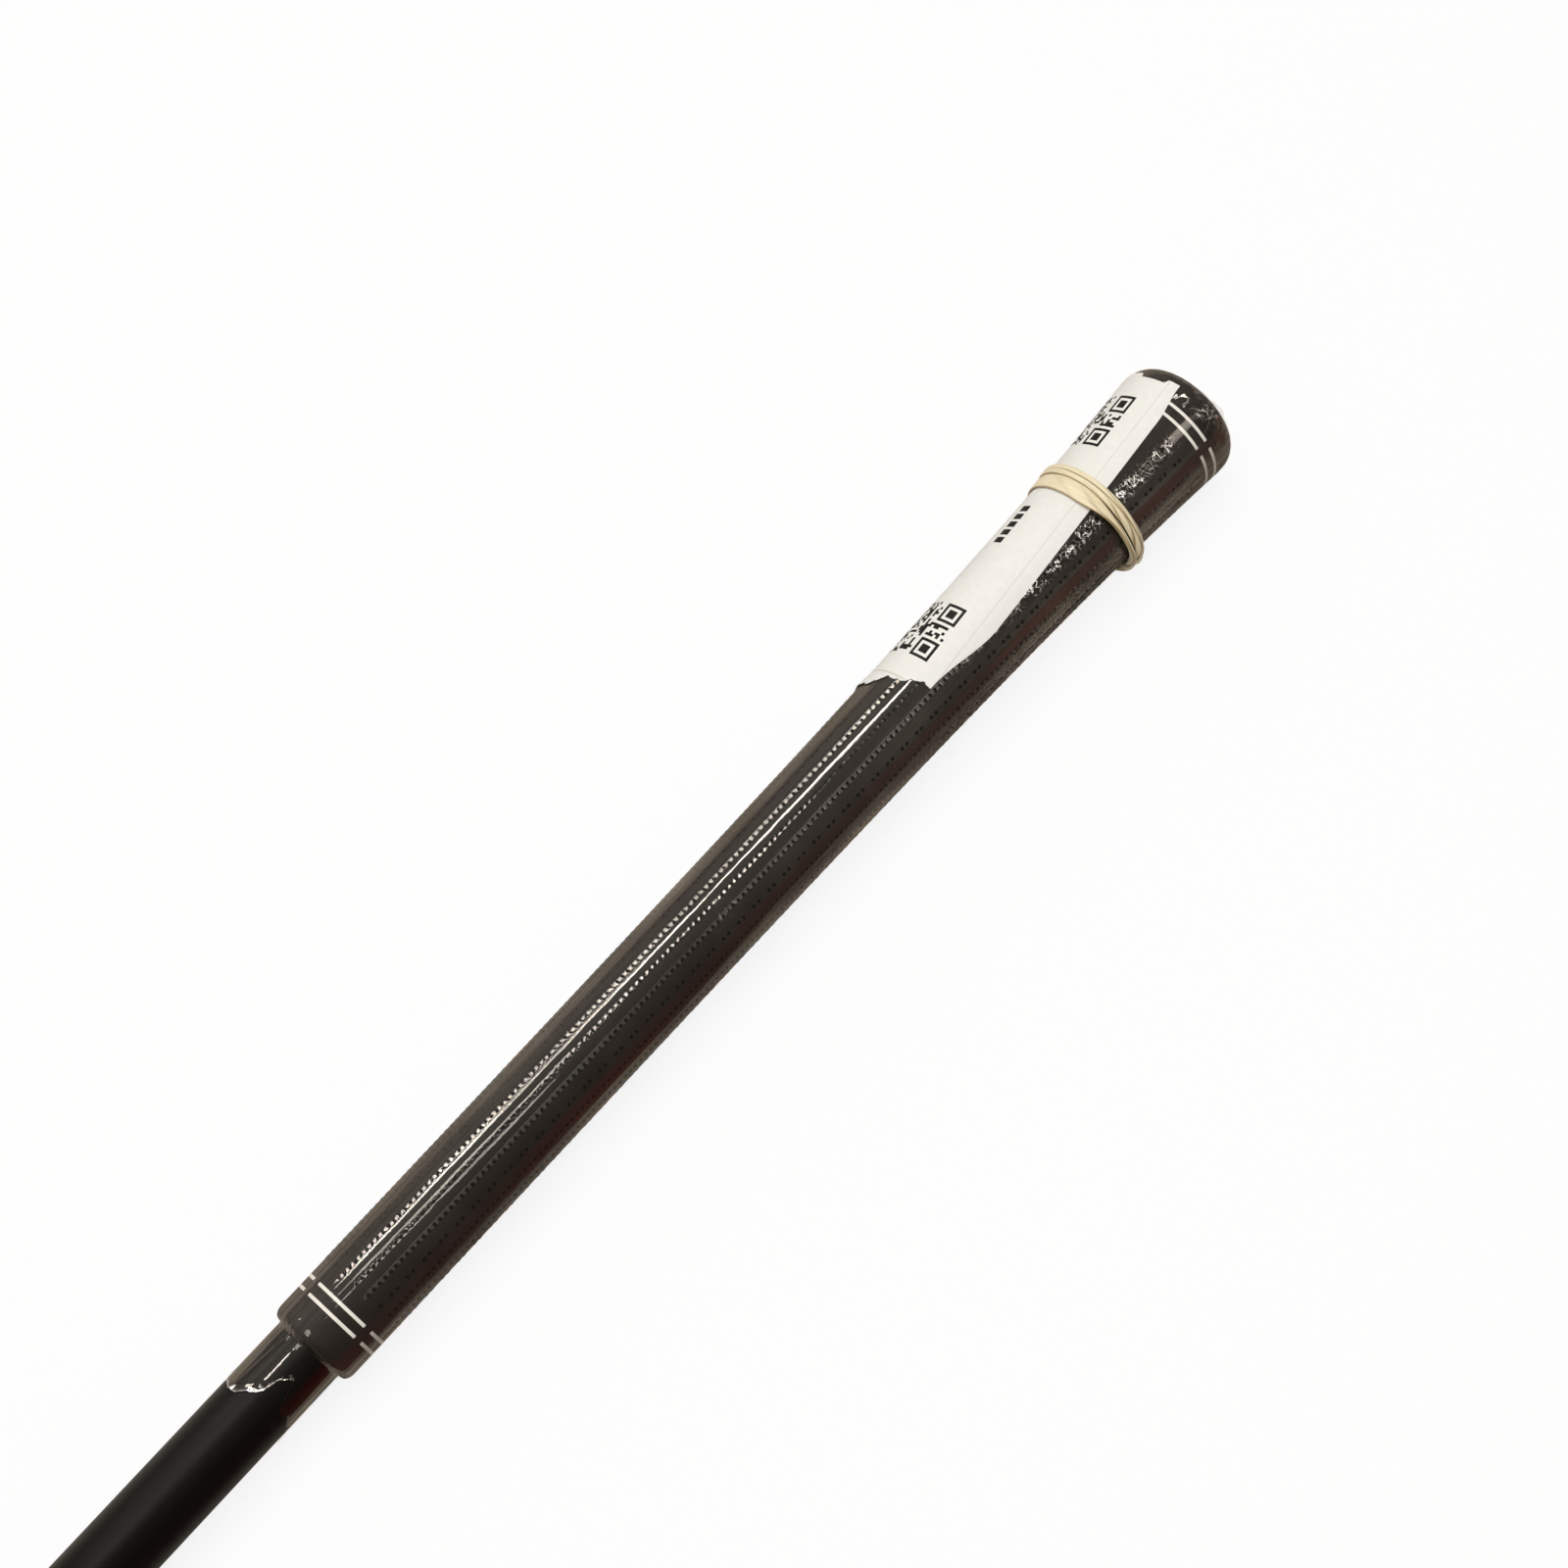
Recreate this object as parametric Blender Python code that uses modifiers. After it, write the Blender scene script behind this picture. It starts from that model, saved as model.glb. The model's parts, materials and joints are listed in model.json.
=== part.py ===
"""Golf club, a wedge, whose rubber grip is still in its clear transit film with a label and a rubber band.

Units are metres. The club is built along its own shaft axis, butt up at z = 0, and is then laid on the floor
on the three points that it rests on: the butt of the grip and two points of the head. On the floor the butt
points to +X, +Z is up, and the origin is the bottom centre of the box round the whole club.
"""

import math

import bmesh
import bpy
import numpy as np
from mathutils import Matrix, Vector

MM = 0.001

# Club
CLUB_LENGTH = 895 * MM  # butt to the point where the shaft axis meets the ground
LIE_ANGLE = math.radians(64)
LOFT_ANGLE = math.radians(56)
LAYER_GAP = 0.15 * MM  # between layers that lie on each other
SEAT_GAP = 0.3 * MM  # between pieces that are pushed against each other

# Grip
GRIP_LENGTH = 269 * MM
BUTT_DIAMETER = 28.1 * MM
MOUTH_DIAMETER = 19.25 * MM
FLARE_LENGTH = 55 * MM  # the butt's extra width falls to a third over this length
CAP_DEPTH = 6.5 * MM
CAP_WALL = 3.5 * MM
CAP_SHOULDER = 5 * MM
VENT_DIAMETER = 3 * MM
MOUTH_ROUNDING = 2.2 * MM
MOUTH_LIP = 0.15 * MM  # flat end face left inside the rounding
TAPE_THICKNESS = 0.2 * MM
TAPE_SHORT_OF_MOUTH = 6 * MM

# White rings let into the grip, two at the butt and two at the mouth, each broken four times
CAP_RING_FROM_BUTT = 8.4 * MM
CAP_RING_PITCH = 2.6 * MM
MOUTH_RING_FROM_MOUTH = 7.3 * MM
MOUTH_RING_PITCH = 2.7 * MM
RING_WIDTH = 0.7 * MM
RING_DEPTH = 0.5 * MM
RING_BREAKS = 4  # and as many arcs
RING_BREAK_WIDTH = 2 * MM
RING_BREAK_TURN = math.radians(-48)

# Shaft
SHAFT_DIAMETER = 15.24 * MM
TIP_DIAMETER = 9.4 * MM
SHAFT_WALL = 0.6 * MM
TIP_WALL = 0.9 * MM
BARE_TIP = 17.5 * MM  # between the last step and the ferrule
STEP_PITCH = 31.75 * MM
STEP_COUNT = 15
STEP_RUN = 2 * MM

# Ferrule
FERRULE_LENGTH = 22 * MM
FERRULE_COLLAR = 4 * MM
FERRULE_TOP_WALL = 0.7 * MM

# Club head, in its own address frame: x to the toe, y to the target, z up from the ground
HOSEL_DIAMETER = 13.4 * MM
HOSEL_HEIGHT = 66 * MM  # ground to hosel top, along the shaft axis
HOSEL_BORE_DEPTH = 30 * MM
HOSEL_RIM_CHAMFER = 0.5 * MM
HOSEL_BACK_OF_EDGE = 5.2 * MM  # shaft axis behind the leading edge
NECK_HEIGHT = 38 * MM  # ground to the end of the neck's bend, along the shaft axis
NECK_PULL = 34 * MM
HEEL_X = 15 * MM
TOE_X = 79 * MM
CROWN_X = 61 * MM  # where the top line is highest
TOE_LIFT_X = 42 * MM  # where the leading edge starts to rise to the toe
LEADING_EDGE_HEIGHT = 3.5 * MM
FACE_HEEL_HEIGHT = 29 * MM
FACE_CROWN_HEIGHT = 58 * MM
FACE_TOE_HEIGHT = 27 * MM
TOP_LINE_WIDTH = 5.2 * MM
SOLE_WIDTH = 21 * MM
SOLE_HEEL_WIDTH = 16 * MM
SOLE_CAMBER = 4.6 * MM
TRAILING_EDGE_DROP = 1.2 * MM
TOE_EDGE_WIDTH = 6 * MM
BLADE_WIDTH = 5.8 * MM  # front to back, above the muscle
MUSCLE_SHARE = 0.58  # share of the face's height that has the muscle behind it
MUSCLE_HEIGHT = 7 * MM

# Grooves of the striking face
GROOVE_WIDTH = 0.9 * MM
GROOVE_DEPTH = 0.5 * MM
GROOVE_PITCH = 3.5 * MM
GROOVE_FIRST = 5 * MM  # above the leading edge
GROOVE_HEEL_X = 21 * MM
GROOVE_TOE_X = 66 * MM
GROOVE_EDGE_MARGIN = 3 * MM

# Transit film, label and rubber band on the grip
FILM_THICKNESS = 0.2 * MM
FILM_START_ON_SHOULDER = math.radians(10)  # round the cap's shoulder, from its flat end
FILM_PAST_MOUTH = 13 * MM
FILM_DRAW_IN = 2 * MM  # length over which the film drops from the mouth to the shaft
LABEL_LENGTH = 89 * MM
LABEL_WIDTH = 28 * MM
LABEL_THICKNESS = 0.2 * MM
LABEL_FROM_BUTT = 4.5 * MM
LABEL_SIDE_OFFSET = 1.6 * MM  # from the topmost line of the grip to the label's edge, at its top
LABEL_SKEW = math.radians(4.7)
BAND_FROM_BUTT = 35.5 * MM
BAND_WIDTH = 3.4 * MM
BAND_THICKNESS = 0.7 * MM
BAND_TURNS = 2
BAND_SPREAD = 2.2 * MM  # each turn's farthest distance from the middle of the band
BAND_TILT = math.radians(4)
BAND_CROSSING = math.radians(-18)  # round from the topmost line of the grip
BAND_POINT_SPACING = 2.15 * MM  # along the loop

# Facets
GRIP_SEGMENTS = 36
SHAFT_SEGMENTS = 32
TAPER_STATIONS = 11
ARC_STEPS = 5
RING_ARC_STEPS = 8

SHAFT_RADIUS = SHAFT_DIAMETER / 2
TIP_RADIUS = TIP_DIAMETER / 2
HOSEL_RADIUS = HOSEL_DIAMETER / 2
BUTT_RADIUS = BUTT_DIAMETER / 2
MOUTH_RADIUS = MOUTH_DIAMETER / 2
GRIP_BORE = SHAFT_RADIUS + TAPE_THICKNESS + 2 * LAYER_GAP
SHAFT_START = CAP_WALL + SEAT_GAP
HOSEL_TOP = CLUB_LENGTH - HOSEL_HEIGHT
SHAFT_END = HOSEL_TOP + HOSEL_BORE_DEPTH - SEAT_GAP
LAST_STEP = HOSEL_TOP - FERRULE_LENGTH - BARE_TIP - STEP_RUN
FIRST_STEP = LAST_STEP - (STEP_COUNT - 1) * STEP_PITCH


# Scene and materials


def clear_scene():
    for old in list(bpy.data.objects):
        bpy.data.objects.remove(old, do_unlink=True)


def new_collection(name):
    made = bpy.data.collections.new(name)
    bpy.context.scene.collection.children.link(made)
    return made


def material(name, colour, roughness, metallic=0.0, alpha=1.0):
    made = bpy.data.materials.new(name)
    made.use_nodes = True
    shader = made.node_tree.nodes["Principled BSDF"]
    shader.inputs["Base Color"].default_value = (*colour, 1.0)
    shader.inputs["Roughness"].default_value = roughness
    shader.inputs["Metallic"].default_value = metallic
    shader.inputs["Alpha"].default_value = alpha
    return made


def add_object(name, data, collection, parent, surface=None):
    made = bpy.data.objects.new(name, data)
    collection.objects.link(made)
    made.parent = parent
    if surface:
        data.materials.append(surface)
    return made


def add_empty(name, collection, parent=None):
    return add_object(name, None, collection, parent)


def hide_as_guide(guide):
    guide.hide_render = True
    guide.display_type = "WIRE"


# Turned pieces: a profile of (radius, distance from the butt) and a Screw modifier


def turned(name, profile, surface, segments, parent, closed=True):
    count = len(profile)
    points = [(radius, 0.0, -distance) for radius, distance in profile]
    edges = [(i, i + 1) for i in range(count - 1)]
    if closed:
        edges.append((count - 1, 0))
    mesh = bpy.data.meshes.new(name)
    mesh.from_pydata(points, edges, [])
    made = add_object(name, mesh, parts, parent, surface)
    screw = made.modifiers.new("turn", "SCREW")
    screw.steps = segments
    screw.render_steps = segments
    screw.use_merge_vertices = True
    screw.merge_threshold = 0.01 * MM
    screw.use_smooth_shade = True
    return made


def grip_radius(distance):
    flare = math.exp(-max(distance - CAP_DEPTH, 0.0) / FLARE_LENGTH)
    return MOUTH_RADIUS + (BUTT_RADIUS - MOUTH_RADIUS) * flare


def taper_stations(start, end):
    """Distances from the butt, closer together where the flare bends most."""
    steps = np.linspace(0, 1, TAPER_STATIONS) ** 1.6
    return [start + (end - start) * step for step in steps]


def shoulder_arc(start_angle):
    """The cap's rounded edge, from an angle off its flat end round to its side."""
    centre = BUTT_RADIUS - CAP_SHOULDER
    angles = np.linspace(start_angle, math.pi / 2, ARC_STEPS + 1)
    return [(centre + CAP_SHOULDER * math.sin(a), CAP_SHOULDER * (1 - math.cos(a))) for a in angles]


def mouth_arc():
    """The rounded edge at the grip's mouth, from its side to its end face."""
    outer = grip_radius(GRIP_LENGTH)
    reach = min(MOUTH_ROUNDING, outer - GRIP_BORE - MOUTH_LIP)
    start = GRIP_LENGTH - MOUTH_ROUNDING
    angles = np.linspace(0, math.pi / 2, ARC_STEPS)
    return [(outer - reach * (1 - math.cos(a)), start + MOUTH_ROUNDING * math.sin(a)) for a in angles]


def on_grip(radius, turn, distance):
    """A point round the grip: turn 0 is its topmost line, and a positive turn goes to +Y on the floor."""
    return Vector((radius * math.sin(turn), radius * math.cos(turn), -distance))


def ring_places():
    first_mouth = GRIP_LENGTH - MOUTH_RING_FROM_MOUTH
    return {
        "cap_ring_outer": CAP_RING_FROM_BUTT,
        "cap_ring_inner": CAP_RING_FROM_BUTT + CAP_RING_PITCH,
        "mouth_ring_upper": first_mouth - MOUTH_RING_PITCH,
        "mouth_ring_lower": first_mouth,
    }


def groove_points(place):
    half = RING_WIDTH / 2 + LAYER_GAP
    floor = grip_radius(place) - RING_DEPTH - LAYER_GAP
    return [
        (grip_radius(place - half), place - half),
        (floor, place - half),
        (floor, place + half),
        (grip_radius(place + half), place + half),
    ]


def make_grip_sleeve():
    start = CAP_DEPTH + LAYER_GAP
    end = GRIP_LENGTH - MOUTH_ROUNDING
    places = ring_places().values()
    runs = [groove_points(place) for place in places]
    for distance in taper_stations(start, end)[:-1]:
        if all(abs(distance - place) > RING_WIDTH for place in places):
            runs.append([(grip_radius(distance), distance)])
    runs.sort(key=lambda run: run[0][1])
    side = [point for run in runs for point in run]
    bore = [(GRIP_BORE, GRIP_LENGTH), (GRIP_BORE, start)]
    return turned("grip_sleeve", side + mouth_arc() + bore, black_rubber, GRIP_SEGMENTS, grip_frame)


def make_grip_end_cap():
    vent = VENT_DIAMETER / 2
    inside = GRIP_BORE
    profile = [(vent, 0.0)] + shoulder_arc(0.0)
    profile += [(BUTT_RADIUS, CAP_DEPTH), (inside, CAP_DEPTH), (inside, CAP_WALL), (vent, CAP_WALL)]
    return turned("grip_end_cap", profile, cap_rubber, GRIP_SEGMENTS, grip_frame)


def make_ring(name, place):
    """The white inlays of one ring: equal arcs in its groove, with a break of bare rubber between them."""
    outer = grip_radius(place)
    inner = outer - RING_DEPTH
    top = place - RING_WIDTH / 2
    bottom = place + RING_WIDTH / 2
    break_turn = RING_BREAK_WIDTH / outer
    arc_turn = 2 * math.pi / RING_BREAKS - break_turn
    section = [(outer, top), (outer, bottom), (inner, bottom), (inner, top)]
    for i in range(RING_BREAKS):
        first = RING_BREAK_TURN + break_turn / 2 + 2 * math.pi * i / RING_BREAKS
        shape = bmesh.new()
        corners = [shape.verts.new(on_grip(radius, first, distance)) for radius, distance in section]
        start_face = shape.faces.new(corners)
        bmesh.ops.spin(shape, geom=[start_face], axis=(0, 0, -1), angle=arc_turn, steps=RING_ARC_STEPS)
        bmesh.ops.recalc_face_normals(shape, faces=shape.faces)
        mesh = bpy.data.meshes.new(f"{name}_{i + 1}")
        shape.to_mesh(mesh)
        shape.free()
        add_object(f"{name}_{i + 1}", mesh, parts, grip_frame, white_inlay)


def make_grip_tape():
    inner = SHAFT_RADIUS + LAYER_GAP
    outer = inner + TAPE_THICKNESS
    end = GRIP_LENGTH - TAPE_SHORT_OF_MOUTH
    profile = [(outer, SHAFT_START), (outer, end), (inner, end), (inner, SHAFT_START)]
    return turned("grip_tape", profile, tape_paper, GRIP_SEGMENTS, club)


# Shaft: a steel tube that steps down to its tip


def make_shaft():
    step_drop = (SHAFT_RADIUS - TIP_RADIUS) / STEP_COUNT
    outer = [(SHAFT_RADIUS, SHAFT_START)]
    for i in range(STEP_COUNT):
        place = FIRST_STEP + i * STEP_PITCH
        outer.append((SHAFT_RADIUS - i * step_drop, place))
        outer.append((SHAFT_RADIUS - (i + 1) * step_drop, place + STEP_RUN))
    outer.append((TIP_RADIUS, SHAFT_END))
    bore_tip = TIP_RADIUS - TIP_WALL
    bore_butt = SHAFT_RADIUS - SHAFT_WALL
    bore = [(bore_tip, SHAFT_END), (bore_tip, LAST_STEP), (bore_butt, FIRST_STEP - STEP_PITCH)]
    bore.append((bore_butt, SHAFT_START))
    return turned("shaft", outer + bore, black_steel, SHAFT_SEGMENTS, club)


def make_ferrule():
    bottom = HOSEL_TOP - SEAT_GAP
    top = bottom - FERRULE_LENGTH
    inner = TIP_RADIUS + LAYER_GAP
    upper = inner + FERRULE_TOP_WALL
    collar = bottom - FERRULE_COLLAR
    sweep = np.linspace(0, 1, ARC_STEPS + 1)
    side = [
        (upper + (HOSEL_RADIUS - upper) * math.sin(t * math.pi / 2), top + (collar - top) * t)
        for t in sweep
    ]
    profile = side + [(HOSEL_RADIUS, bottom), (inner, bottom), (inner, top)]
    return turned("ferrule", profile, black_plastic, SHAFT_SEGMENTS, club)


# Club head: one forged piece, lofted from the toe to the heel, up the neck and into the hosel's bore


def bezier(points, count):
    """Evenly numbered points on a cubic curve, without the last one."""
    a, b, c, d = [np.array(p) for p in points]
    t = np.linspace(0, 1, count + 1)[:-1, None]
    return a * (1 - t) ** 3 + 3 * b * t * (1 - t) ** 2 + 3 * c * t**2 * (1 - t) + d * t**3


def round_rise(x, start, end):
    """0 at start and 1 at end along a quarter of an ellipse that ends upright."""
    share = min(max((x - start) / (end - start), 0.0), 1.0)
    return 1 - math.sqrt(1 - share**2)


def face_low(x):
    return FACE_TOE_HEIGHT * round_rise(x, TOE_LIFT_X, TOE_X)


def face_top(x):
    if x > CROWN_X:
        return FACE_CROWN_HEIGHT - (FACE_CROWN_HEIGHT - FACE_TOE_HEIGHT) * round_rise(x, CROWN_X, TOE_X)
    share = (x - HEEL_X) / (CROWN_X - HEEL_X)
    ease = math.sin(share * math.pi / 2)
    return FACE_HEEL_HEIGHT + (FACE_CROWN_HEIGHT - FACE_HEEL_HEIGHT) * (0.55 * share + 0.45 * ease)


def sole_width(x):
    middle = (HEEL_X + TOE_LIFT_X) / 2
    if x > middle:
        return SOLE_WIDTH
    return SOLE_WIDTH - (SOLE_WIDTH - SOLE_HEEL_WIDTH) * ((middle - x) / (middle - HEEL_X)) ** 2


FACE_UP = np.array((-math.sin(LOFT_ANGLE), math.cos(LOFT_ANGLE)))
FACE_OUT = np.array((math.cos(LOFT_ANGLE), math.sin(LOFT_ANGLE)))
FACE_STEPS = 6
TOP_STEPS = 5
BLADE_BACK_STEPS = 3
MUSCLE_STEPS = 7
SOLE_STEPS = 9
TOP_LINE_BULGE = 0.45  # share of the top line's width
MUSCLE_REACH = 0.16  # share of the face's height over which the back curves into the muscle
SOLE_FADE = 1.5  # how late the sole fades into the toe's edge, 1 being evenly
MUSCLE_LEAN = 0.45  # how far the muscle leans back as it rises from the sole


def face_point(height):
    return np.array((0.0, LEADING_EDGE_HEIGHT)) + height * FACE_UP


def head_section(x):
    """A closed section across the blade, as (y, z): face, top line, back and sole, in that order."""
    low = face_low(x)
    top = face_top(x)
    height = top - low
    lift = max((x - TOE_LIFT_X) / (TOE_X - TOE_LIFT_X), 0.0) ** SOLE_FADE
    fullness = 1 - round_rise(x, TOE_X - TOE_EDGE_WIDTH / 2, TOE_X)
    edge = face_point(low)
    crest = face_point(top)
    back_crest = crest - TOP_LINE_WIDTH * fullness * FACE_OUT
    flat_sole = np.array((-sole_width(x), -TRAILING_EDGE_DROP))
    trailing = edge + fullness * ((1 - lift) * flat_sole - lift * TOE_EDGE_WIDTH * FACE_OUT)
    muscle_top = edge + MUSCLE_SHARE * (crest - edge) - BLADE_WIDTH * fullness * FACE_OUT
    bulge = TOP_LINE_BULGE * TOP_LINE_WIDTH * fullness * FACE_UP
    rise = np.array((-MUSCLE_LEAN, 1.0)) * MUSCLE_HEIGHT * (1 - lift)
    dip = np.array((0.0, -SOLE_CAMBER)) * (1 - lift)
    face = np.array([edge + (crest - edge) * k / FACE_STEPS for k in range(FACE_STEPS)])
    crown = bezier((crest, crest + bulge, back_crest + bulge, back_crest), TOP_STEPS)
    blade = [back_crest + (muscle_top - back_crest) * k / BLADE_BACK_STEPS for k in range(BLADE_BACK_STEPS)]
    reach = MUSCLE_REACH * height * FACE_UP
    muscle = bezier((muscle_top, muscle_top - reach, trailing + rise, trailing), MUSCLE_STEPS)
    span = edge - trailing
    sole = bezier((trailing, trailing + 0.3 * span + dip, edge - 0.1 * span + dip, edge), SOLE_STEPS)
    return np.vstack((face, crown, blade, muscle, sole))


def hosel_angles():
    """Where each point of a section goes on the hosel: 0 is the front, a quarter turn is the toe side."""
    marks = np.radians((-50, 62, 108, 222, 310))
    counts = (FACE_STEPS, TOP_STEPS, BLADE_BACK_STEPS + MUSCLE_STEPS, SOLE_STEPS)
    return np.concatenate([
        np.linspace(marks[i], marks[i + 1], counts[i] + 1)[:-1] for i in range(len(counts))
    ])


SHAFT_WAY = np.array((-math.cos(LIE_ANGLE), 0.0, math.sin(LIE_ANGLE)))
TOE_SIDE = np.array((math.sin(LIE_ANGLE), 0.0, math.cos(LIE_ANGLE)))
FRONT = np.array((0.0, 1.0, 0.0))
GROUND_POINT = np.array((0.0, -HOSEL_BACK_OF_EDGE, 0.0))
BLADE_SECTIONS = 9
TOE_SECTIONS = 11
NECK_SECTIONS = 10


def hosel_ring(height, radius):
    angles = hosel_angles()[:, None]
    centre = GROUND_POINT + SHAFT_WAY * height
    return centre + radius * (np.cos(angles) * FRONT + np.sin(angles) * TOE_SIDE)


def blade_stations():
    """Places along the head from the toe to the heel, closer together where the toe turns round."""
    quarter = np.linspace(0.12, math.pi / 2, TOE_SECTIONS)
    toe = [CROWN_X + (TOE_X - CROWN_X) * math.cos(a) for a in quarter]
    blade = np.linspace(CROWN_X, HEEL_X, BLADE_SECTIONS)[1:]
    return toe + list(blade)


def neck_rings(before, heel):
    """Rings that carry on from the blade's last two sections and bend into the round hosel."""
    goal = hosel_ring(NECK_HEIGHT, HOSEL_RADIUS)
    leave = (heel - before) / (before[0][0] - heel[0][0]) * NECK_PULL
    arrive = SHAFT_WAY * NECK_PULL
    rings = []
    for t in np.linspace(0, 1, NECK_SECTIONS + 1)[1:]:
        start_share = 2 * t**3 - 3 * t**2 + 1
        between = start_share * heel + (1 - start_share) * goal
        bend = (t**3 - 2 * t**2 + t) * leave + (t**3 - t**2) * arrive
        rings.append(between + bend)
    return rings


def loft(name, rings):
    """A closed body through rings with as many points each, with a flat end at both ends."""
    shape = bmesh.new()
    rows = [[shape.verts.new(point) for point in ring] for ring in rings]
    for row, following in zip(rows, rows[1:]):
        for i in range(len(row)):
            j = (i + 1) % len(row)
            shape.faces.new((row[i], row[j], following[j], following[i]))
    shape.faces.new(list(reversed(rows[0])))
    shape.faces.new(rows[-1])
    bmesh.ops.recalc_face_normals(shape, faces=shape.faces)
    mesh = bpy.data.meshes.new(name)
    shape.to_mesh(mesh)
    shape.free()
    mesh.shade_smooth()
    mesh.set_sharp_from_angle(angle=math.radians(38))
    return mesh


def groove_span(height):
    """The x values between which a groove at this height keeps clear of the face's outline."""
    stations = np.linspace(GROOVE_HEEL_X, GROOVE_TOE_X, 60)
    inside = [
        x for x in stations if face_low(x) + GROOVE_EDGE_MARGIN < height < face_top(x) - GROOVE_EDGE_MARGIN
    ]
    return (min(inside), max(inside)) if inside else None


def make_groove_cutter():
    tilt = Matrix.Rotation(LOFT_ANGLE, 4, "X")
    shape = bmesh.new()
    count = int((FACE_CROWN_HEIGHT - GROOVE_FIRST) / GROOVE_PITCH)
    for i in range(count):
        height = GROOVE_FIRST + i * GROOVE_PITCH
        span = groove_span(height)
        if span is None:
            continue
        y, z = face_point(height)
        move = Matrix.Translation(((span[0] + span[1]) / 2, y, z))
        size = Matrix.Diagonal((span[1] - span[0], 2 * GROOVE_DEPTH, GROOVE_WIDTH, 1))
        bmesh.ops.create_cube(shape, size=1.0, matrix=move @ tilt @ size)
    mesh = bpy.data.meshes.new("face_grooves")
    shape.to_mesh(mesh)
    shape.free()
    cutter = add_object("face_grooves", mesh, cutters, head_frame)
    hide_as_guide(cutter)
    return cutter


def make_club_head():
    blade = []
    for x in blade_stations():
        section = head_section(x)
        blade.append(np.column_stack((np.full(len(section), x), section)))
    bore = TIP_RADIUS + LAYER_GAP
    rim = [
        hosel_ring(HOSEL_HEIGHT - HOSEL_RIM_CHAMFER, HOSEL_RADIUS),
        hosel_ring(HOSEL_HEIGHT, HOSEL_RADIUS - HOSEL_RIM_CHAMFER),
        hosel_ring(HOSEL_HEIGHT, bore),
        hosel_ring(HOSEL_HEIGHT - HOSEL_BORE_DEPTH, bore),
    ]
    mesh = loft("club_head", blade + neck_rings(blade[-2], blade[-1]) + rim)
    head = add_object("club_head", mesh, parts, head_frame, satin_steel)
    cut = head.modifiers.new("grooves", "BOOLEAN")
    cut.operation = "DIFFERENCE"
    cut.object = make_groove_cutter()
    return head


# Transit film, label and rubber band


def outward(profile, distance):
    """A profile moved square to itself, away from the axis."""
    points = np.array(profile)
    along = np.gradient(points, axis=0)
    along /= np.linalg.norm(along, axis=1)[:, None]
    normals = np.column_stack((along[:, 1], -along[:, 0]))
    return [tuple(p) for p in points + distance * normals]


def film_line():
    """The inner face of the film, from the cap's shoulder down to its end on the shaft."""
    side = [(grip_radius(d), d) for d in taper_stations(CAP_DEPTH, GRIP_LENGTH - MOUTH_ROUNDING)[:-1]]
    on_grip = outward(shoulder_arc(FILM_START_ON_SHOULDER) + side + mouth_arc()[:-1], LAYER_GAP)
    on_shaft = SHAFT_RADIUS + LAYER_GAP
    drawn_in = (on_shaft, GRIP_LENGTH + FILM_DRAW_IN)
    return on_grip + [drawn_in, (on_shaft, GRIP_LENGTH + FILM_PAST_MOUTH)]


def thicken(made, thickness):
    shell = made.modifiers.new("thickness", "SOLIDIFY")
    shell.thickness = thickness
    shell.offset = 1.0
    shell.use_even_offset = True


def make_protective_film():
    film = turned("protective_film", film_line(), clear_film, GRIP_SEGMENTS, grip_frame, closed=False)
    thicken(film, FILM_THICKNESS)
    return film


def film_surface(distance):
    return grip_radius(distance) + LAYER_GAP + FILM_THICKNESS


LABEL_STEPS_ROUND = 14
LABEL_STEPS_ALONG = 9


def make_stock_label():
    shape = bmesh.new()
    bmesh.ops.create_grid(shape, x_segments=LABEL_STEPS_ROUND, y_segments=LABEL_STEPS_ALONG, size=0.5)
    for vert in shape.verts:
        across = (0.5 - vert.co.x) * LABEL_WIDTH
        down = (0.5 - vert.co.y) * LABEL_LENGTH
        arc = LABEL_SIDE_OFFSET + across * math.cos(LABEL_SKEW) - down * math.sin(LABEL_SKEW)
        distance = LABEL_FROM_BUTT + down * math.cos(LABEL_SKEW) + across * math.sin(LABEL_SKEW)
        radius = film_surface(distance) + LAYER_GAP
        vert.co = on_grip(radius, arc / radius, distance)
    mesh = bpy.data.meshes.new("stock_label")
    shape.to_mesh(mesh)
    shape.free()
    mesh.shade_smooth()
    label = add_object("stock_label", mesh, parts, grip_frame, white_paper)
    thicken(label, LABEL_THICKNESS)
    return label


BAND_EDGE_STEPS = 4


def make_band_section():
    """The flat oval section of the rubber band: two half circles joined by its flat sides."""
    half_width = (BAND_WIDTH - BAND_THICKNESS) / 2
    sweep = np.linspace(-math.pi / 2, math.pi / 2, BAND_EDGE_STEPS)
    end = [(half_width + BAND_THICKNESS / 2 * math.cos(a), BAND_THICKNESS / 2 * math.sin(a)) for a in sweep]
    outline = end + [(-x, -y) for x, y in end]
    curve = bpy.data.curves.new("band_section", "CURVE")
    curve.dimensions = "2D"
    spline = curve.splines.new("POLY")
    spline.points.add(len(outline) - 1)
    for point, (x, y) in zip(spline.points, outline):
        point.co = (y, x, 0.0, 1.0)
    spline.use_cyclic_u = True
    section = add_object("band_section", curve, cutters, None)
    hide_as_guide(section)
    return section


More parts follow.
